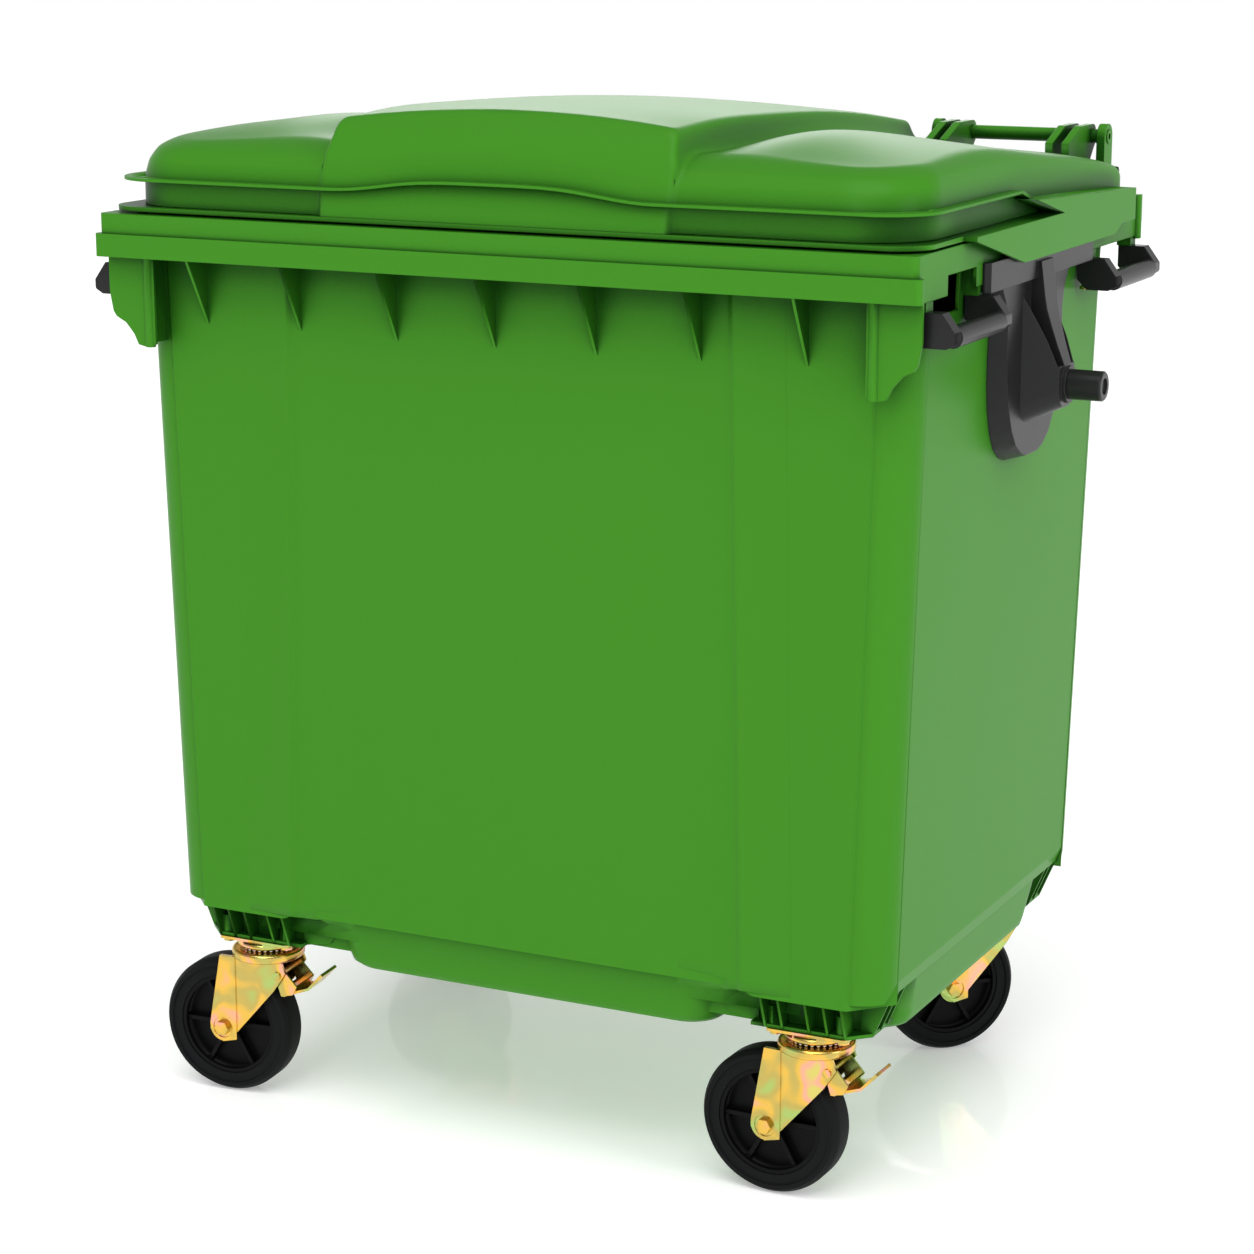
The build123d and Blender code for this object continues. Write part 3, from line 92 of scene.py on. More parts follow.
# Finishes: fine detail of the textures, and colours that a user needn't change
GRAIN_DETAIL = 3.0
EDGE_SAMPLES = 6
# Painted shade: the green's base colour is darkened where corners and overhangs shut out light,
# within this reach and between these shares
CORNER_REACH = 0.1
CORNER_DEEP = 0.5
CORNER_CLEAR = 0.9
CORNER_SHADE_TONE = (0.2, 0.3, 0.3)
WHEEL_TONE = 0.3
FILM_DETAIL = 1.2
FILM_DRIFT = 0.35
FILM_START = 0.30
FILM_GREEN = (0.42, 0.55, 0.16)
FILM_GOLD_AT = 0.46
FILM_TINTS = (
    (0.56, (0.82, 0.50, 0.09)),
    (0.66, (0.90, 0.42, 0.30)),
    (0.76, (0.72, 0.60, 0.16)),
)
STEEL = (0.55, 0.55, 0.56)
STEEL_ROUGHNESS = 0.22

# Dressed copies: how CAD meshes are merged, and the angles above which edges stay sharp
MERGE_GAP = 0.00001
FLAT_ANGLE = 0.4
EVEN_WEIGHT = 100
LID_ANGLE = 28.0
BODY_ANGLE = 25.0
BRACKET_ANGLE = 20.0
BALL_ROUNDNESS = 2
FITTING_ANGLE = 40.0
CASTER_ANGLE = 35.0


class ContainerSizes(bpy.types.PropertyGroup):
    """Sizes a user may change."""

    edge_radius: bpy.props.FloatProperty(
        name="Edge radius",
        description="Rounding of the metal and black plastic edges",
        default=0.0009,
        unit="LENGTH",
    )
    shell_edge: bpy.props.FloatProperty(
        name="Shell edge radius",
        description="Rounding of the green mouldings' edges",
        default=0.0022,
        unit="LENGTH",
    )
    ball_radius: bpy.props.FloatProperty(
        name="Ball radius",
        description="Radius of the steel balls in the casters' swivel races",
        default=0.0028,
        unit="LENGTH",
    )
    ball_ring: bpy.props.FloatProperty(
        name="Ball circle radius",
        description="Radius of the circle the balls run on",
        default=0.036,
        unit="LENGTH",
    )
    ball_count: bpy.props.IntProperty(
        name="Balls",
        description="Number of balls in one race",
        default=28,
    )


class ContainerColours(bpy.types.PropertyGroup):
    """Colours a user may change."""

    green: bpy.props.FloatVectorProperty(
        name="Green",
        description="Colour of tub and lid",
        default=(0.05, 0.243, 0.015),
        subtype="COLOR",
    )
    black: bpy.props.FloatVectorProperty(
        name="Black",
        description="Colour of brackets, grips and lift pins",
        default=(0.014, 0.014, 0.0145),
        subtype="COLOR",
    )
    rubber: bpy.props.FloatVectorProperty(
        name="Rubber",
        description="Colour of the tyres, and in a darker tone of the wheel centres",
        default=(0.0085, 0.009, 0.0095),
        subtype="COLOR",
    )
    zinc: bpy.props.FloatVectorProperty(
        name="Zinc",
        description="Main colour of the yellow zinc plating",
        default=(0.56, 0.42, 0.115),
        subtype="COLOR",
    )
    floor: bpy.props.FloatVectorProperty(
        name="Floor",
        description="Colour of the floor",
        default=(0.97, 0.97, 0.97),
        subtype="COLOR",
    )


def sizes():
    return bpy.context.scene.container_sizes


def colours():
    return bpy.context.scene.container_colours


def rgba(colour):
    return (colour[0], colour[1], colour[2], 1.0)


def new_material(name):
    """A node material with its shader, ready to be filled."""
    material = bpy.data.materials.get(name)
    if material:
        return material, None
    material = bpy.data.materials.new(name)
    material.use_nodes = True
    return material, material.node_tree.nodes["Principled BSDF"]


def grain(material, shader, texture, bevel):
    """Fine moulding grain, laid over softly rounded edges; gives the place node back."""
    scale, strength, distance = texture
    tree = material.node_tree
    place = tree.nodes.new("ShaderNodeTexCoord")
    noise = tree.nodes.new("ShaderNodeTexNoise")
    noise.inputs["Scale"].default_value = scale
    noise.inputs["Detail"].default_value = GRAIN_DETAIL
    bump = tree.nodes.new("ShaderNodeBump")
    bump.inputs["Strength"].default_value = strength
    bump.inputs["Distance"].default_value = distance
    tree.links.new(place.outputs["Object"], noise.inputs["Vector"])
    tree.links.new(noise.outputs["Fac"], bump.inputs["Height"])
    if bevel:
        edge = tree.nodes.new("ShaderNodeBevel")
        edge.samples = EDGE_SAMPLES
        edge.inputs["Radius"].default_value = bevel
        tree.links.new(edge.outputs["Normal"], bump.inputs["Normal"])
    tree.links.new(bump.outputs["Normal"], shader.inputs["Normal"])
    return place


def paint_corner_shade(material, shader, colour):
    """Paint shade into a colour: darker in the narrow corners and under overhangs, where less
    light reaches.
    """
    tree = material.node_tree
    corner = tree.nodes.new("ShaderNodeAmbientOcclusion")
    corner.samples = EDGE_SAMPLES
    corner.inputs["Distance"].default_value = CORNER_REACH
    ramp = tree.nodes.new("ShaderNodeValToRGB")
    stops = ramp.color_ramp.elements
    stops[0].position = CORNER_DEEP
    stops[0].color = rgba([part * share for part, share in zip(colour, CORNER_SHADE_TONE)])
    stops[1].position = CORNER_CLEAR
    stops[1].color = rgba(colour)
    tree.links.new(corner.outputs["AO"], ramp.inputs["Fac"])
    tree.links.new(ramp.outputs["Color"], shader.inputs["Base Color"])


def plastic(name, colour, look, bevel):
    """A plastic or rubber with its grain, and its shader where it was made just now."""
    roughness, specular, texture = look
    material, shader = new_material(name)
    if shader:
        shader.inputs["Base Color"].default_value = rgba(colour)
        shader.inputs["Roughness"].default_value = roughness
        shader.inputs["Specular IOR Level"].default_value = specular
        grain(material, shader, texture, bevel)
    return material, shader


def plastic_edge():
    """Edge radius of black plastic and tyres, twice that of metal."""
    return sizes().edge_radius * 2


def green_plastic():
    """Satin polyethylene of tub and lid."""
    green = colours().green
    material, shader = plastic("green polyethylene", green, GREEN_LOOK, sizes().shell_edge)
    # The tub's and lid's colour gets painted shade in corners and under the rim
    if shader:
        paint_corner_shade(material, shader, green)
    return material


def black_plastic():
    """Satin black of brackets, grips and pins."""
    return plastic("black fittings plastic", colours().black, BLACK_LOOK, plastic_edge())[0]


def wheel_plastic():
    """Matt black of the wheel centres, a darker tone of the tyres' colour."""
    dark = [part * WHEEL_TONE for part in colours().rubber]
    return plastic("wheel centre plastic", dark, WHEEL_LOOK, plastic_edge())[0]


def tyre_rubber():
    """Solid rubber, rough with a fine grain."""
    return plastic("solid tyre rubber", colours().rubber, TYRE_LOOK, plastic_edge())[0]


def soft_rubber():
    """Rubber of lid stops and drain seal."""
    return plastic("stop rubber", colours().rubber, STOP_LOOK, 0.0)[0]


def zinc_plating(name, shine, spread):
    """Yellow zinc plating whose film drifts from gold to pink and green."""
    material, shader = new_material(name)
    if not shader:
        return material
    shader.inputs["Metallic"].default_value = 1.0
    shader.inputs["Roughness"].default_value = shine
    tree = material.node_tree
    place = grain(material, shader, ZINC_GRAIN, sizes().edge_radius)
    cloud = tree.nodes.new("ShaderNodeTexNoise")
    cloud.inputs["Scale"].default_value = spread
    cloud.inputs["Detail"].default_value = FILM_DETAIL
    cloud.inputs["Distortion"].default_value = FILM_DRIFT
    ramp = tree.nodes.new("ShaderNodeValToRGB")
    ramp.color_ramp.interpolation = "EASE"
    stops = ramp.color_ramp.elements
    stops[0].position = FILM_START
    stops[0].color = rgba(FILM_GREEN)
    stops[1].position = FILM_GOLD_AT
    stops[1].color = rgba(colours().zinc)
    for position, colour in FILM_TINTS:
        stops.new(position).color = rgba(colour)
    tree.links.new(place.outputs["Object"], cloud.inputs["Vector"])
    tree.links.new(cloud.outputs["Fac"], ramp.inputs["Fac"])
    tree.links.new(ramp.outputs["Color"], shader.inputs["Base Color"])
    return material


def ball_steel():
    """Polished steel of the swivel balls."""
    material, shader = new_material("ball steel")
    if shader:
        shader.inputs["Base Color"].default_value = rgba(STEEL)
        shader.inputs["Metallic"].default_value = 1.0
        shader.inputs["Roughness"].default_value = STEEL_ROUGHNESS
    return material


SLOT_OF = {piece["node"]: piece["material_slot"] for piece in frame["record"]["subparts"]}
FINISH_OF_SLOT = {
    "green_plastic": green_plastic,
    "black_plastic": black_plastic,
    "wheel_plastic": wheel_plastic,
    "tyre_rubber": tyre_rubber,
    "stop_rubber": soft_rubber,
    "bolt_zinc": lambda: zinc_plating("zinc plated bolts", *BOLT_ZINC),
    "yellow_zinc": lambda: zinc_plating("zinc plated sheet", *SHEET_ZINC),
}


def finish_of(node):
    """Material of a CAD node, by its slot in the record."""
    return FINISH_OF_SLOT[SLOT_OF[node]]()


def body_of(node):
    """The moving body a CAD node belongs to."""
    return frame["nodes"][node]["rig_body"]


def green_object(name, data):
    """A smooth-shaded green piece made from a mesh."""
    data.polygons.foreach_set("use_smooth", [True] * len(data.polygons))
    data.materials.append(green_plastic())
    piece = bpy.data.objects.new(name, data)
    bpy.context.scene.collection.objects.link(piece)
    return piece


def flattened(piece):
    """The piece's mesh with normals that follow its large faces, so flat walls stay flat."""
    even = piece.modifiers.new("even shading", "WEIGHTED_NORMAL")
    even.keep_sharp = True
    even.weight = EVEN_WEIGHT
    bpy.context.view_layer.update()
    view = bpy.context.evaluated_depsgraph_get()
    data = bpy.data.meshes.new_from_object(piece.evaluated_get(view))
    piece.modifiers.clear()
    return data


def smooth_copy(node, angle):
    """A CAD node's mesh merged and smoothed, with edges above an angle in degrees left sharp."""
    mesh = bmesh.new()
    mesh.from_mesh(frame["nodes"][node].data)
    bmesh.ops.remove_doubles(mesh, verts=mesh.verts, dist=MERGE_GAP)
    bmesh.ops.dissolve_limit(
        mesh, angle_limit=math.radians(FLAT_ANGLE), verts=mesh.verts, edges=mesh.edges
    )
    data = bpy.data.meshes.new(node + "_shape")
    mesh.to_mesh(data)
    mesh.free()
    data.polygons.foreach_set("use_smooth", [True] * len(data.polygons))
    data.set_sharp_from_angle(angle=math.radians(angle))
    piece = bpy.data.objects.new(node + "_dressed", data)
    bpy.context.scene.collection.objects.link(piece)
    piece.data = flattened(piece)
    piece.data.materials.clear()
    piece.data.materials.append(finish_of(node))
    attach(piece, body_of(node))
    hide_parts(node)
    return piece


# The lid's outside, in millimetres and in shares of its length, width and height.
# LOBE_WALL: share of height, then how far the end and the front lean in by that height.
# LOBE_TOP: share of depth, then the height at each share of width in LOBE_ACROSS.
# DOME_FRONT: share of height, then how far the front leans in by that height.
# DOME_ALONG: share of depth, then half widths at foot and edge, heights of edge, middle and foot.
LID_BASE = 1276.0
LID_HALF_X = 572.0
LID_FRONT_Y = -412.0
LID_REAR_Y = 424.0
LID_DEPTH = LID_REAR_Y - LID_FRONT_Y
LOBE_RISE = 110.0
DOME_RISE = 144.0
LOBE_WALL = (
    (-0.3, 0.0, 0.0),
    (0.33, 0.0005, 0.001),
    (0.54, 0.006, 0.0095),
    (0.7, 0.018, 0.026),
    (0.82, 0.04, 0.05),
    (1.15, 0.14, 0.16),
)
LOBE_ACROSS = (0.0, 0.437, 0.525, 0.63, 0.77, 0.89, 0.958, 1.02)
LOBE_TOP = (
    (-0.03, 0.75, 0.75, 0.75, 0.74, 0.73, 0.7, 0.67, 0.64),
    (0.05, 0.84, 0.845, 0.84, 0.82, 0.79, 0.765, 0.745, 0.72),
    (0.134, 0.82, 0.83, 0.9, 0.92, 0.88, 0.83, 0.79, 0.74),
    (0.254, 0.8, 0.81, 0.95, 1.02, 0.955, 0.875, 0.82, 0.76),
    (0.373, 0.8, 0.82, 0.94, 1.0, 0.935, 0.865, 0.82, 0.76),
    (0.493, 0.82, 0.83, 0.88, 0.9, 0.85, 0.79, 0.75, 0.7),
    (0.612, 0.78, 0.79, 0.79, 0.78, 0.73, 0.68, 0.65, 0.61),
    (0.78, 0.66, 0.66, 0.655, 0.63, 0.585, 0.55, 0.52, 0.48),
    (0.94, 0.5, 0.5, 0.5, 0.485, 0.455, 0.415, 0.37, 0.31),
    (1.03, 0.36, 0.36, 0.36, 0.35, 0.32, 0.28, 0.23, 0.17),
)
DOME_FRONT = (
    (-0.1, -0.0135),
    (0.0, -0.0125),
    (0.12, -0.0085),
    (0.257, -0.0025),
    (0.479, 0.0085),
    (0.6875, 0.0235),
    (0.85, 0.041),
    (1.05, 0.066),
)
DOME_ALONG = (
    (-0.01, 0.44, 0.425, 0.83, 0.978, 0.52),
    (0.062, 0.452, 0.433, 0.83, 0.978, 0.6),
    (0.18, 0.47, 0.437, 0.86, 0.988, 0.6),
    (0.373, 0.478, 0.437, 0.848, 0.985, 0.6),
    (0.64, 0.478, 0.437, 0.775, 0.895, 0.57),
    (0.85, 0.47, 0.435, 0.655, 0.74, 0.46),
    (1.03, 0.46, 0.43, 0.52, 0.56, 0.34),
)
TABLE_STEP = 2.0
TABLE_END = 1.001
TABLE_HALF_X = 600.0
TABLE_HALF_Y = 440.0
TABLE_LOW_Z = 1260.0
TABLE_HIGH_Z = 1440.0
WALL_SOFTNESS = 6
FRONT_CORNER = 92.0
REAR_CORNER = 30.0
LOBE_EDGE = 15.0
LOBE_TOP_SHARE = 0.95
DOME_CROWN = 7.0
DOME_CROWN_SHARE = 0.94
DOME_FLARE = 1.9
DOME_FLARE_TOP = 1.3
DOME_SIDE_EDGE = 16.0
DOME_FRONT_EDGE = 9.0
DOME_REAR_EDGE = 12.0
MEETING_EDGE = 7.0
SKIN_PROUD = 0.3
RAY_REACH = 300.0
RAY_STEP = 4.0
RAY_HALVINGS = 18

# The net over the lid: rays start on a level plane and fan out round its edge
NET_Z = 1290.0
NET_INNER_X = (0.0, 60.0, 120.0, 180.0, 212.0)
NET_FINE_X = (224.0, 284.0, 2.0)
NET_OUTER_X = (284.0, 481.0, 7.0)
NET_MIDDLE_X = (-236.0, 237.0, 8.0)
NET_MIDDLE_FROM = 200.0
NET_FRONT_Y = (-320.0, -200.0, 5.0)
NET_REAR_Y = (-200.0, 390.0, 9.0)
NET_LAST_Y = 394.0
NET_FRONT_TURNS = 15
NET_REAR_TURNS = 11
FAN_STEEP = (3.0, 12.0, 3.0)
FAN_FINE = (12.0, 62.0, 1.25)
FAN_LOW = (62.0, 99.0, 3.0)

# Faces of the lid copy that lie under the net
BARE_DEPTH = 9.0
BARE_LIKENESS = 0.6
BARE_ABOVE_BASE = 1.0
BARE_REARWARD = 0.7
TINY = 1e-9


def curve_through(places, values, asked):
    """Values of the natural cubic curve through some points, at the places asked for."""
    places = np.asarray(places, float)
    values = np.asarray(values, float)
    steps = np.diff(places)
    count = len(places)
    matrix = np.eye(count)
    right = np.zeros(count)
    for i in range(1, count - 1):
        matrix[i, i - 1 : i + 2] = (steps[i - 1], 2 * (steps[i - 1] + steps[i]), steps[i])
        slopes = np.diff(values[i - 1 : i + 2]) / steps[i - 1 : i + 1]
        right[i] = 6 * (slopes[1] - slopes[0])
    bend = np.linalg.solve(matrix, right)
    spot = np.clip(np.searchsorted(places, asked) - 1, 0, count - 2)
    step = steps[spot]
    far = (places[spot + 1] - asked) / step
    near = (asked - places[spot]) / step
    return (
        far * values[spot]
        + near * values[spot + 1]
        + ((far**3 - far) * bend[spot] + (near**3 - near) * bend[spot + 1]) * step**2 / 6
    )


def rounded_least(a, b, width):
    """The lesser of two distances, with the edge between them rounded."""
    share = np.clip(1 - np.abs(a - b) / width, 0, None)
    return np.minimum(a, b) - share**2 * width / 4


class LidForm:
    """The outside of the lid as one smooth depth function: two lobes and the dome."""

    def __init__(self):
        self.x = np.arange(0.0, TABLE_HALF_X + 1, TABLE_STEP)
        self.y = np.arange(-TABLE_HALF_Y, TABLE_HALF_Y + 1, TABLE_STEP)
        rows = np.array(LOBE_TOP)
        width = self.x / LID_HALF_X
        across = np.array([curve_through(LOBE_ACROSS, row[1:], width) for row in rows])
        along = (self.y - LID_FRONT_Y) / LID_DEPTH
        self.lobe = LID_BASE + LOBE_RISE * np.array(
            [curve_through(rows[:, 0], column, along) for column in across.T]
        )
        form = np.array(DOME_ALONG)
        self.dome = [curve_through(form[:, 0], column, along) for column in form[:, 1:].T]
        self.level = np.arange(TABLE_LOW_Z, TABLE_HIGH_Z + 1)
        wall = np.array(LOBE_WALL)
        share = (self.level - LID_BASE) / LOBE_RISE
        soft = np.hanning(2 * WALL_SOFTNESS + 1)
        soft /= soft.sum()
        self.wall_x, self.wall_y = [
            np.convolve(
                np.pad(np.interp(share, wall[:, 0], lean), WALL_SOFTNESS, "edge"), soft, "valid"
            )
            for lean in wall[:, 1:].T
        ]
        front = np.array(DOME_FRONT)
        self.front = curve_through(front[:, 0], front[:, 1], (self.level - LID_BASE) / DOME_RISE)
        self.front = np.minimum.accumulate(self.front[::-1])[::-1]

    def lobes(self, x, y, z):
        """Depth below the lobes' outside."""
        i = np.clip(x / TABLE_STEP, 0, len(self.x) - TABLE_END)
        j = np.clip((y + TABLE_HALF_Y) / TABLE_STEP, 0, len(self.y) - TABLE_END)
        i0, j0 = i.astype(int), j.astype(int)
        u, v = i - i0, j - j0
        table = self.lobe
        top = (1 - u) * ((1 - v) * table[i0, j0] + v * table[i0, j0 + 1]) + u * (
            (1 - v) * table[i0 + 1, j0] + v * table[i0 + 1, j0 + 1]
        )
        half = LID_HALF_X * (1 - np.interp(z, self.level, self.wall_x))
        front = LID_FRONT_Y + LID_DEPTH * np.interp(z, self.level, self.wall_y)
        plan = np.minimum(half - x, np.minimum(y - front, LID_REAR_Y - y))
        in_front = (x > half - FRONT_CORNER) & (y < front + FRONT_CORNER)
        reach = FRONT_CORNER - np.hypot(x - half + FRONT_CORNER, y - front - FRONT_CORNER)
        plan = np.where(in_front, reach, plan)
        in_rear = (x > half - REAR_CORNER) & (y > LID_REAR_Y - REAR_CORNER)
        reach = REAR_CORNER - np.hypot(x - half + REAR_CORNER, y - LID_REAR_Y + REAR_CORNER)
        plan = np.where(in_rear, reach, plan)
        return rounded_least(plan, (top - z) * LOBE_TOP_SHARE, LOBE_EDGE)

    def domes(self, x, y, z):
        """Depth below the dome's outside."""
        foot, edge, edge_z, centre_z, foot_z = [np.interp(y, self.y, row) for row in self.dome]
        foot, edge = LID_HALF_X * foot, LID_HALF_X * edge
        edge_z, centre_z = LID_BASE + DOME_RISE * edge_z, LID_BASE + DOME_RISE * centre_z
        foot_z = LID_BASE + DOME_RISE * foot_z
        crown = centre_z - edge_z - DOME_CROWN
        top = centre_z - crown * (x / (edge * DOME_CROWN_SHARE)) ** 2
        rise = np.clip((z - foot_z) / (edge_z - foot_z), 0.0, DOME_FLARE_TOP)
        side = edge + (foot - edge) * np.clip(1 - rise, 0, 1) ** DOME_FLARE - x
        front = y - LID_FRONT_Y - LID_DEPTH * np.interp(z, self.level, self.front)
        rear = LID_REAR_Y - y
        shape = rounded_least(top - z, side, DOME_SIDE_EDGE)
        shape = rounded_least(shape, front, DOME_FRONT_EDGE)
        return rounded_least(shape, rear, DOME_REAR_EDGE)

    def depth(self, x, y, z):
        """Depth below the whole outside, positive inside."""
        x = np.abs(x)
        outer = rounded_least(-self.lobes(x, y, z), -self.domes(x, y, z), MEETING_EDGE)
        return SKIN_PROUD - outer

    def outside(self, start, way):
        """Where rays from inside leave the form."""
        near = np.zeros(len(start))
        far = np.full(len(start), RAY_REACH)
        for length in np.arange(RAY_STEP, RAY_REACH, RAY_STEP):
            spot = start + way * length
            out = self.depth(spot[:, 0], spot[:, 1], spot[:, 2]) < 0
            first = out & (far > length)
            far[first] = length
            near[first] = length - RAY_STEP
        for _ in range(RAY_HALVINGS):
            middle = (near + far) / 2
            spot = start + way * middle[:, None]
            inside = self.depth(spot[:, 0], spot[:, 1], spot[:, 2]) > 0
            near = np.where(inside, middle, near)
            far = np.where(inside, far, middle)
        return start + way * near[:, None]


def net_lines():
    """Places of the net's columns across the lid and of its rows along it."""
    steps = list(NET_INNER_X) + list(np.arange(*NET_FINE_X)) + list(np.arange(*NET_OUTER_X))
    across = np.array(sorted({-step for step in steps} | set(steps)))
    outer = across[np.abs(across) > NET_MIDDLE_FROM]
    across = np.unique(np.concatenate([outer, np.arange(*NET_MIDDLE_X)]))
    along = np.concatenate([np.arange(*NET_FRONT_Y), np.arange(*NET_REAR_Y)])
    return across, np.append(along, NET_LAST_Y)


def net_edge(columns, rows):
    """The net's edge once round: column, row and heading in degrees of each entry."""
    last_i, last_j = columns - 1, rows - 1

    def turned(i, j, start, count):
        return [(i, j, angle) for angle in np.linspace(start, start + 90.0, count)[1:]]

    loop = [(i, 0, -90.0) for i in range(columns)]
    loop += turned(last_i, 0, -90.0, NET_FRONT_TURNS)
    loop += [(last_i, j, 0.0) for j in range(1, rows)]
    loop += turned(last_i, last_j, 0.0, NET_REAR_TURNS)
    loop += [(i, last_j, 90.0) for i in range(last_i - 1, -1, -1)]
    loop += turned(0, last_j, 90.0, NET_REAR_TURNS)
    loop += [(0, j, 180.0) for j in range(last_j - 1, -1, -1)]
    loop += turned(0, 0, 180.0, NET_FRONT_TURNS)
    return loop[:-1]


def lid_skin(form):
    """A smooth net over the lid's outside: rays up over its middle, fanned out round its edge."""
    across, along = net_lines()
    columns, rows = len(across), len(along)
    grid = np.array([(x, y, NET_Z) for x in across for y in along])
    points = [form.outside(grid, np.tile((0.0, 0.0, 1.0), (len(grid), 1)))]
    loop = net_edge(columns, rows)
    fans = np.concatenate([np.arange(*FAN_STEEP), np.arange(*FAN_FINE), np.arange(*FAN_LOW)])
    heading = np.radians([angle for _, _, angle in loop])
    start = np.array([(across[i], along[j], NET_Z) for i, j, _ in loop])
    for tilt in np.radians(fans):
        level = math.sin(tilt)
        rise = np.full(len(loop), math.cos(tilt))
        way = np.stack([np.cos(heading) * level, np.sin(heading) * level, rise], axis=1)
        points.append(form.outside(start, way))

    def spot(i, j):
        return i * rows + j

    faces = []
    for i in range(columns - 1):
        for j in range(rows - 1):
            faces.append((spot(i, j), spot(i + 1, j), spot(i + 1, j + 1), spot(i, j + 1)))
    total, count = len(grid), len(loop)
    rings = [[spot(i, j) for i, j, _ in loop]]
    rings += [[total + k * count + n for n in range(count)] for k in range(len(fans))]
    for inner, outer in zip(rings, rings[1:]):
        for n in range(count):
            m = (n + 1) % count
            ring = [inner[n], outer[n], outer[m], inner[m]]
            faces.append(tuple(v for k, v in enumerate(ring) if v != ring[k - 1]))
    data = bpy.data.meshes.new("lid_skin")
    data.from_pydata((np.concatenate(points) / MM).tolist(), [], faces)
    data.validate()
    return green_object("lid_skin", data)


def bare_under_skin(lid, form):
    """Take off the lid copy's outer faces where the smooth skin now lies."""
    mesh = bmesh.new()
    mesh.from_mesh(lid.data)
    middles = np.array([face.calc_center_median() for face in mesh.faces]) * MM
    normals = np.array([face.normal for face in mesh.faces])
    x, y, z = middles.T
    depth = form.depth(x, y, z)
    slope = -np.stack(
        [
            form.depth(x + 1, y, z) - depth,
            form.depth(x, y + 1, z) - depth,
            form.depth(x, y, z + 1) - depth,
        ],
        axis=1,
    )
    slope /= np.linalg.norm(slope, axis=1)[:, None] + TINY
    close = (np.abs(depth) < BARE_DEPTH) & (z > LID_BASE + BARE_ABOVE_BASE)
    close &= (slope * normals).sum(axis=1) > BARE_LIKENESS
    close &= normals[:, 1] < BARE_REARWARD
    mesh.faces.ensure_lookup_table()
    doomed = [mesh.faces[i] for i in np.nonzero(close)[0]]
    bmesh.ops.delete(mesh, geom=doomed, context="FACES_ONLY")
    mesh.to_mesh(lid.data)
    mesh.free()


class CONTAINER_OT_finishes(bpy.types.Operator):
    """Give every CAD node the finish of its slot"""

    bl_idname = "container.finishes"
    bl_label = "Finishes"

    def execute(self, context):
        for name, node in frame["nodes"].items():
            node.data.materials.clear()
            node.data.materials.append(finish_of(name))
        return {"FINISHED"}


class CONTAINER_OT_shells(bpy.types.Operator):
    """Smooth the green tub and lid, and lay a smooth skin over the lid"""

    bl_idname = "container.shells"
    bl_label = "Tub and lid"

    def execute(self, context):
        form = LidForm()
        bare_under_skin(smooth_copy("lid_shell", LID_ANGLE), form)
        skin = lid_skin(form)
        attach(skin, "lid")
        smooth_copy("container_body", BODY_ANGLE)
        return {"FINISHED"}


# Folds of the front panel, in metres; profiles in millimetres inward from the fold's edge
FOLD_LOW_Z = 0.262
FOLD_HIGH_Z = 1.2085
FOLD_LEVELS = 60
FOLD_EDGE_X = 0.329
FOLD_EDGE_LEAN = 0.0205
FOLD_FADE = 0.05
FOLD_SUNK = 0.3
FOLD_PROUD = 0.0002
FOLD_RIDGE = (
    (-70.0, 0.1),
    (-34.0, 1.1),
    (-12.0, 3.0),
    (-3.0, 4.3),
    (-0.5, 4.4),
    (1.5, 3.6),
    (6.5, 0.8),
    (8.5, 0.35),
    (14.0, 0.2),
    (20.0, 0.15),
)
FOLD_FALL = ((40.0, 0.5), (80.0, 0.92), (105.0, 1.0))
STRIP_RAY = 0.035
MIDDLE_RAY_X = 0.2
RAY_START_Y = -0.7


def wall_depth(tree, x, z):
    """Y of the tub's front wall at a place."""
    return tree.ray_cast(Vector((x, RAY_START_Y, z)), Vector((0, 1, 0)))[0].y


def panel_fold(name, tree, side):
    """Soft fold where the tub's front panel steps back from one of its side strips."""
    rows = []
    for level in np.linspace(FOLD_LOW_Z, FOLD_HIGH_Z, FOLD_LEVELS):
        edge = FOLD_EDGE_X + (1.0 - level) * FOLD_EDGE_LEAN
        strip = wall_depth(tree, side * (edge + STRIP_RAY), level)
        middle = wall_depth(tree, side * MIDDLE_RAY_X, level)
        fade = min(max((level - FOLD_LOW_Z) / FOLD_FADE, 0.0), 1.0)
        fade = fade * fade * (3 - 2 * fade)
        row = []
        for inward, height in FOLD_RIDGE:
            lift = height * fade - FOLD_SUNK * (1 - fade)
            row.append((side * (edge - inward / MM), strip - lift / MM, level))
        for inward, share in FOLD_FALL:
            depth = strip + (middle - strip) * share + (FOLD_PROUD if share == 1.0 else 0.0)
            row.append((side * (edge - inward / MM), depth, level))
        rows.append(row)
    wide = len(rows[0])
    faces = []
    for i in range(len(rows) - 1):
        for j in range(wide - 1):
            k = i * wide + j
            face = (k, k + 1, k + wide + 1, k + wide)
            faces.append(face if side < 0 else face[::-1])
    data = bpy.data.meshes.new(name)
    data.from_pydata([spot for row in rows for spot in row], [], faces)
    fold = green_object(name, data)
    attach(fold, "container")
    return fold


class CONTAINER_OT_folds(bpy.types.Operator):
    """Lay the soft folds along the tub's front panel"""

    bl_idname = "container.folds"
    bl_label = "Panel folds"

    def execute(self, context):
        mesh = bmesh.new()
        mesh.from_mesh(frame["nodes"]["container_body"].data)
        tree = BVHTree.FromBMesh(mesh)
        mesh.free()
        panel_fold("front_fold_left", tree, -1.0)
        panel_fold("front_fold_right", tree, 1.0)
        return {"FINISHED"}


class CONTAINER_OT_fittings(bpy.types.Operator):
    """Round the edges of lift brackets, pins and grips"""

    bl_idname = "container.fittings"
    bl_label = "Brackets and grips"

    def execute(self, context):
        for side in SIDES:
            smooth_copy("lift_bracket_" + side, BRACKET_ANGLE)
            smooth_copy("lift_pin_" + side, FITTING_ANGLE)
            for place in ("front", "rear"):
                smooth_copy(f"grip_{place}_{side}", FITTING_ANGLE)
        return {"FINISHED"}


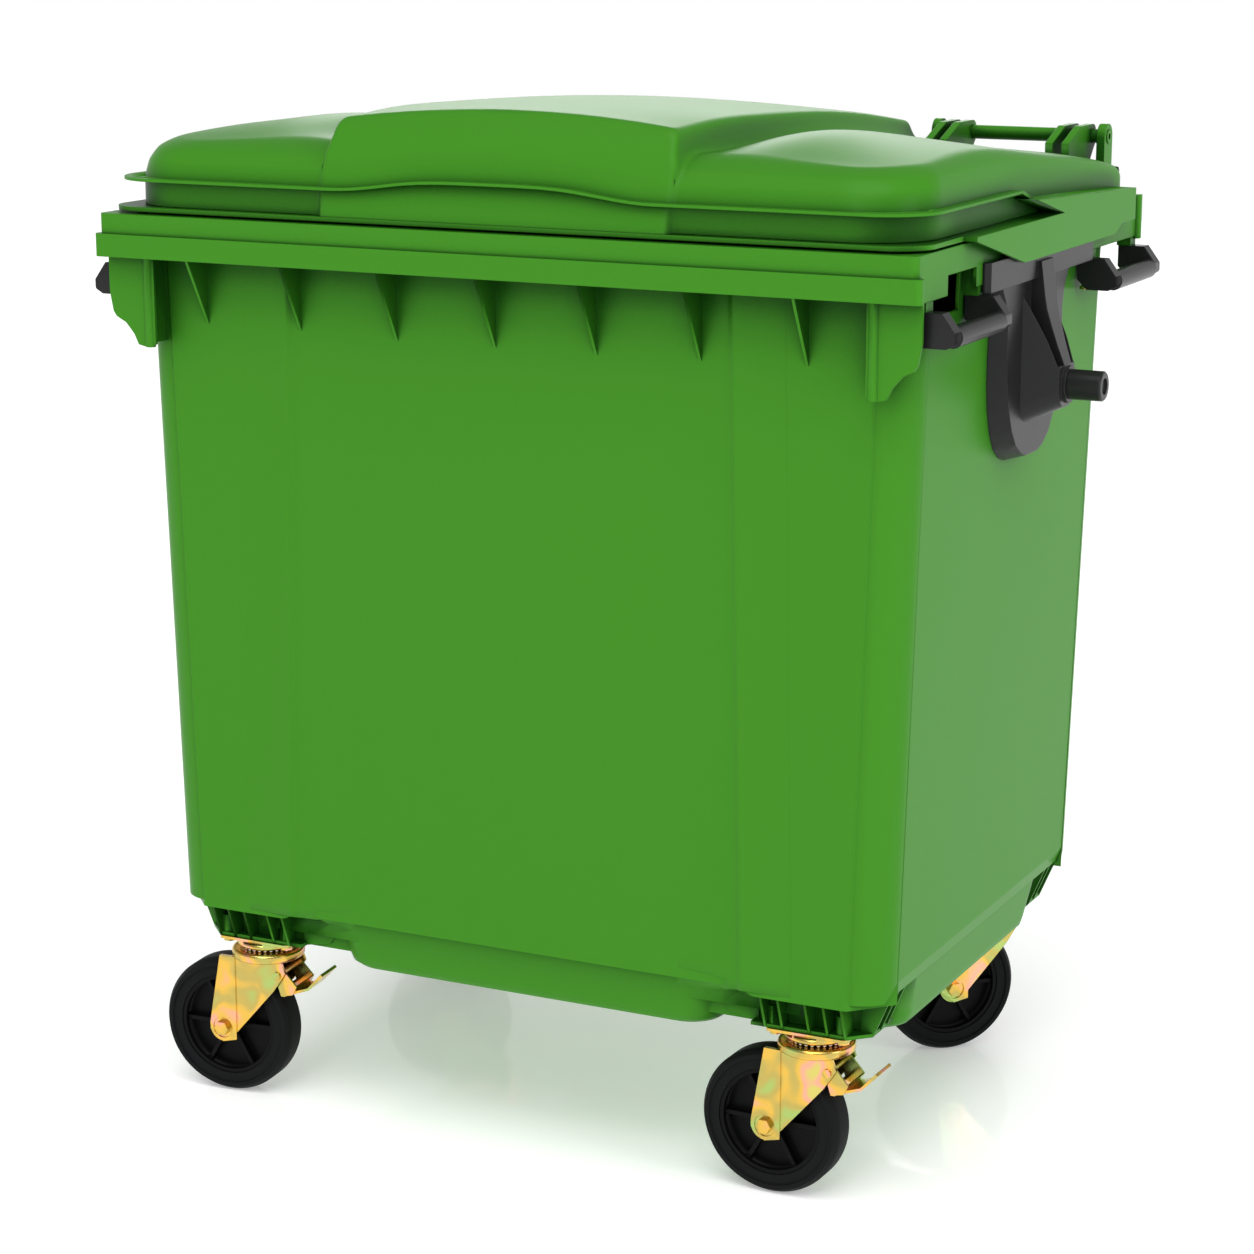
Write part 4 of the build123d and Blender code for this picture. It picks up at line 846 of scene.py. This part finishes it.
class CONTAINER_OT_casters(bpy.types.Operator):
    """Round the edges of forks, wheels and tyres"""

    bl_idname = "container.casters"
    bl_label = "Casters"

    def execute(self, context):
        for caster in CASTERS:
            for piece in ("fork_", "tyre_", "wheel_rim_", "top_plate_", "axle_bolt_"):
                smooth_copy(piece + caster, CASTER_ANGLE)
            if caster.startswith("front"):
                smooth_copy("brake_pedal_" + caster, CASTER_ANGLE)
        return {"FINISHED"}


def socket(tree, name, kind):
    """The identifier of a new input of a node group."""
    return tree.interface.new_socket(name=name, in_out="INPUT", socket_type=kind).identifier


def ball_tree():
    """Geometry nodes: a ring of balls, realized and given their material."""
    tree = bpy.data.node_groups.new("swivel balls", "GeometryNodeTree")
    names = {
        "radius": socket(tree, "Ball radius", "NodeSocketFloat"),
        "ring": socket(tree, "Circle radius", "NodeSocketFloat"),
        "count": socket(tree, "Balls", "NodeSocketInt"),
        "place": socket(tree, "Middle", "NodeSocketVector"),
    }
    tree.interface.new_socket(name="Geometry", in_out="OUTPUT", socket_type="NodeSocketGeometry")
    source = tree.nodes.new("NodeGroupInput")
    target = tree.nodes.new("NodeGroupOutput")
    circle = tree.nodes.new("GeometryNodeMeshCircle")
    ball = tree.nodes.new("GeometryNodeMeshIcoSphere")
    ball.inputs["Subdivisions"].default_value = BALL_ROUNDNESS
    smooth = tree.nodes.new("GeometryNodeSetShadeSmooth")
    lay = tree.nodes.new("GeometryNodeInstanceOnPoints")
    move = tree.nodes.new("GeometryNodeTransform")
    real = tree.nodes.new("GeometryNodeRealizeInstances")
    paint = tree.nodes.new("GeometryNodeSetMaterial")
    paint.inputs["Material"].default_value = ball_steel()
    link = tree.links.new
    link(source.outputs["Balls"], circle.inputs["Vertices"])
    link(source.outputs["Circle radius"], circle.inputs["Radius"])
    link(source.outputs["Ball radius"], ball.inputs["Radius"])
    link(ball.outputs["Mesh"], smooth.inputs["Geometry"])
    link(circle.outputs["Mesh"], lay.inputs["Points"])
    link(smooth.outputs["Geometry"], lay.inputs["Instance"])
    link(lay.outputs["Instances"], move.inputs["Geometry"])
    link(source.outputs["Middle"], move.inputs["Translation"])
    link(move.outputs["Geometry"], real.inputs["Geometry"])
    link(real.outputs["Geometry"], paint.inputs["Geometry"])
    link(paint.outputs["Geometry"], target.inputs["Geometry"])
    return tree, names


def grown(name, tree, values):
    """A plain mesh made by a node group with the given inputs."""
    holder = bpy.data.objects.new(name, bpy.data.meshes.new(name))
    bpy.context.scene.collection.objects.link(holder)
    modifier = holder.modifiers.new("shape", "NODES")
    modifier.node_group = tree
    for key, value in values.items():
        modifier[key] = value
    bpy.context.view_layer.update()
    view = bpy.context.evaluated_depsgraph_get()
    data = bpy.data.meshes.new_from_object(holder.evaluated_get(view))
    holder.modifiers.clear()
    holder.data = data
    return holder


class CONTAINER_OT_balls(bpy.types.Operator):
    """Lay the steel balls into the casters' swivel races"""

    bl_idname = "container.balls"
    bl_label = "Swivel balls"

    def execute(self, context):
        tree, names = ball_tree()
        for caster in CASTERS:
            low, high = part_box("king_pin_" + caster)
            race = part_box("top_plate_" + caster)[0].z
            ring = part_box("fork_" + caster)[1].z
            middle = ((low.x + high.x) / 2, (low.y + high.y) / 2, (race + ring) / 2)
            piece = grown(
                "balls_" + caster,
                tree,
                {
                    names["radius"]: sizes().ball_radius,
                    names["ring"]: sizes().ball_ring,
                    names["count"]: sizes().ball_count,
                    names["place"]: middle,
                },
            )
            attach(piece, "fork_" + caster)
        return {"FINISHED"}


# Stage: camera, floor, room and lights (place, target, size, power)
CAMERA_PLACE = (1.9218, -3.9271, 1.6923)
CAMERA_TILT = 90.0 - 13.235
CAMERA_TURN = 0.4573
CAMERA_LENS = 90.22
CAMERA_SENSOR = 36.0
FLOOR_REACH = 12.0
FLOOR_ROUGHNESS = 0.07
FLOOR_SPECULAR = 0.22
FLOOR_GLOW = 0.3
ROOM_BRIGHT_BELOW = 0.05
ROOM_DIM_ABOVE = 0.45
ROOM_BRIGHT = 1.0
ROOM_DIM = 0.36
CEILING_FROM = (0.5, -1.7, 4.0)
CEILING_ANGLE = 50.0
CEILING_POWER = 1.7
CENTRE = (0, 0, 0.7)
LID_TOP = (0, 0, 1.4)
LIGHTS = {
    "key": ((0.6, -4.8, 3.0), CENTRE, (1.4, 1.4), 30.0),
    "side": ((4.6, -0.8, 2.4), CENTRE, (1.8, 1.8), 42.0),
    "rear": ((-1.9, 4.2, 2.6), LID_TOP, (2.6, 0.9), 30.0),
}


def lamp(name, kind, power):
    """A light of a kind, linked to the scene."""
    data = bpy.data.lights.new(name, kind)
    data.energy = power
    light = bpy.data.objects.new(name, data)
    bpy.context.scene.collection.objects.link(light)
    return light


def panel_light(name, place, target, size, power):
    """A soft rectangular light facing a point."""
    light = lamp(name, "AREA", power)
    light.data.shape = "RECTANGLE"
    light.data.size, light.data.size_y = size
    light.location = place
    light.rotation_euler = (Vector(target) - Vector(place)).to_track_quat("-Z", "Y").to_euler()
    return light


def wide_light(name, place, angle, power):
    """An even light from far away, as wide as a ceiling."""
    light = lamp(name, "SUN", power)
    light.data.angle = math.radians(angle)
    light.rotation_euler = Vector(place).to_track_quat("Z", "Y").to_euler()
    return light


def studio_world():
    """White room, bright round the horizon and dimmer overhead."""
    world = bpy.data.worlds.new("studio")
    world.use_nodes = True
    tree = world.node_tree
    place = tree.nodes.new("ShaderNodeTexCoord")
    parts = tree.nodes.new("ShaderNodeSeparateXYZ")
    fade = tree.nodes.new("ShaderNodeMapRange")
    fade.interpolation_type = "SMOOTHSTEP"
    fade.inputs["From Min"].default_value = ROOM_BRIGHT_BELOW
    fade.inputs["From Max"].default_value = ROOM_DIM_ABOVE
    fade.inputs["To Min"].default_value = ROOM_BRIGHT
    fade.inputs["To Max"].default_value = ROOM_DIM
    tree.links.new(place.outputs["Generated"], parts.inputs["Vector"])
    tree.links.new(parts.outputs["Z"], fade.inputs["Value"])
    tree.links.new(fade.outputs["Result"], tree.nodes["Background"].inputs["Strength"])
    tree.nodes["Background"].inputs["Color"].default_value = (1, 1, 1, 1)
    return world


def pale_floor():
    """A wide floor with a faint sheen and glow."""
    reach = FLOOR_REACH
    data = bpy.data.meshes.new("floor")
    corners = [(-reach, -reach, 0), (reach, -reach, 0), (reach, reach, 0), (-reach, reach, 0)]
    data.from_pydata(corners, [], [(0, 1, 2, 3)])
    material, shader = new_material("pale floor")
    shader.inputs["Base Color"].default_value = rgba(colours().floor)
    shader.inputs["Roughness"].default_value = FLOOR_ROUGHNESS
    shader.inputs["Specular IOR Level"].default_value = FLOOR_SPECULAR
    shader.inputs["Emission Color"].default_value = (1, 1, 1, 1)
    shader.inputs["Emission Strength"].default_value = FLOOR_GLOW
    data.materials.append(material)
    floor = bpy.data.objects.new("floor", data)
    bpy.context.scene.collection.objects.link(floor)
    return floor


class CONTAINER_OT_stage(bpy.types.Operator):
    """Set floor, light and camera"""

    bl_idname = "container.stage"
    bl_label = "Stage"

    def execute(self, context):
        camera = bpy.data.cameras.new("camera")
        camera.lens = CAMERA_LENS
        camera.sensor_width = CAMERA_SENSOR
        eye = bpy.data.objects.new("camera", camera)
        context.scene.collection.objects.link(eye)
        eye.location = CAMERA_PLACE
        eye.rotation_euler = (math.radians(CAMERA_TILT), 0.0, CAMERA_TURN)
        context.scene.camera = eye
        pale_floor()
        context.scene.world = studio_world()
        context.scene.view_settings.view_transform = "Standard"
        wide_light("ceiling", CEILING_FROM, CEILING_ANGLE, CEILING_POWER)
        for name, (place, target, size, power) in LIGHTS.items():
            panel_light(name, place, target, size, power)
        return {"FINISHED"}


STEPS = (
    CONTAINER_OT_finishes,
    CONTAINER_OT_shells,
    CONTAINER_OT_folds,
    CONTAINER_OT_fittings,
    CONTAINER_OT_casters,
    CONTAINER_OT_balls,
    CONTAINER_OT_stage,
)


class CONTAINER_PT_panel(bpy.types.Panel):
    """The container's steps in the sidebar"""

    bl_idname = "CONTAINER_PT_panel"
    bl_label = "Container"
    bl_space_type = "VIEW_3D"
    bl_region_type = "UI"
    bl_category = "Container"

    def draw(self, context):
        for step in STEPS:
            self.layout.operator(step.bl_idname)
        for group in (context.scene.container_sizes, context.scene.container_colours):
            for name in group.__annotations__:
                self.layout.prop(group, name)


CLASSES = (ContainerSizes, ContainerColours) + STEPS + (CONTAINER_PT_panel,)


def register():
    for item in CLASSES:
        bpy.utils.register_class(item)
    bpy.types.Scene.container_sizes = bpy.props.PointerProperty(type=ContainerSizes)
    bpy.types.Scene.container_colours = bpy.props.PointerProperty(type=ContainerColours)


def unregister():
    del bpy.types.Scene.container_colours
    del bpy.types.Scene.container_sizes
    for item in reversed(CLASSES):
        bpy.utils.unregister_class(item)


def main():
    register()
    bpy.ops.container.finishes()
    bpy.ops.container.shells()
    bpy.ops.container.folds()
    bpy.ops.container.fittings()
    bpy.ops.container.casters()
    bpy.ops.container.balls()
    bpy.ops.container.stage()


if __name__ == "__main__":
    main()
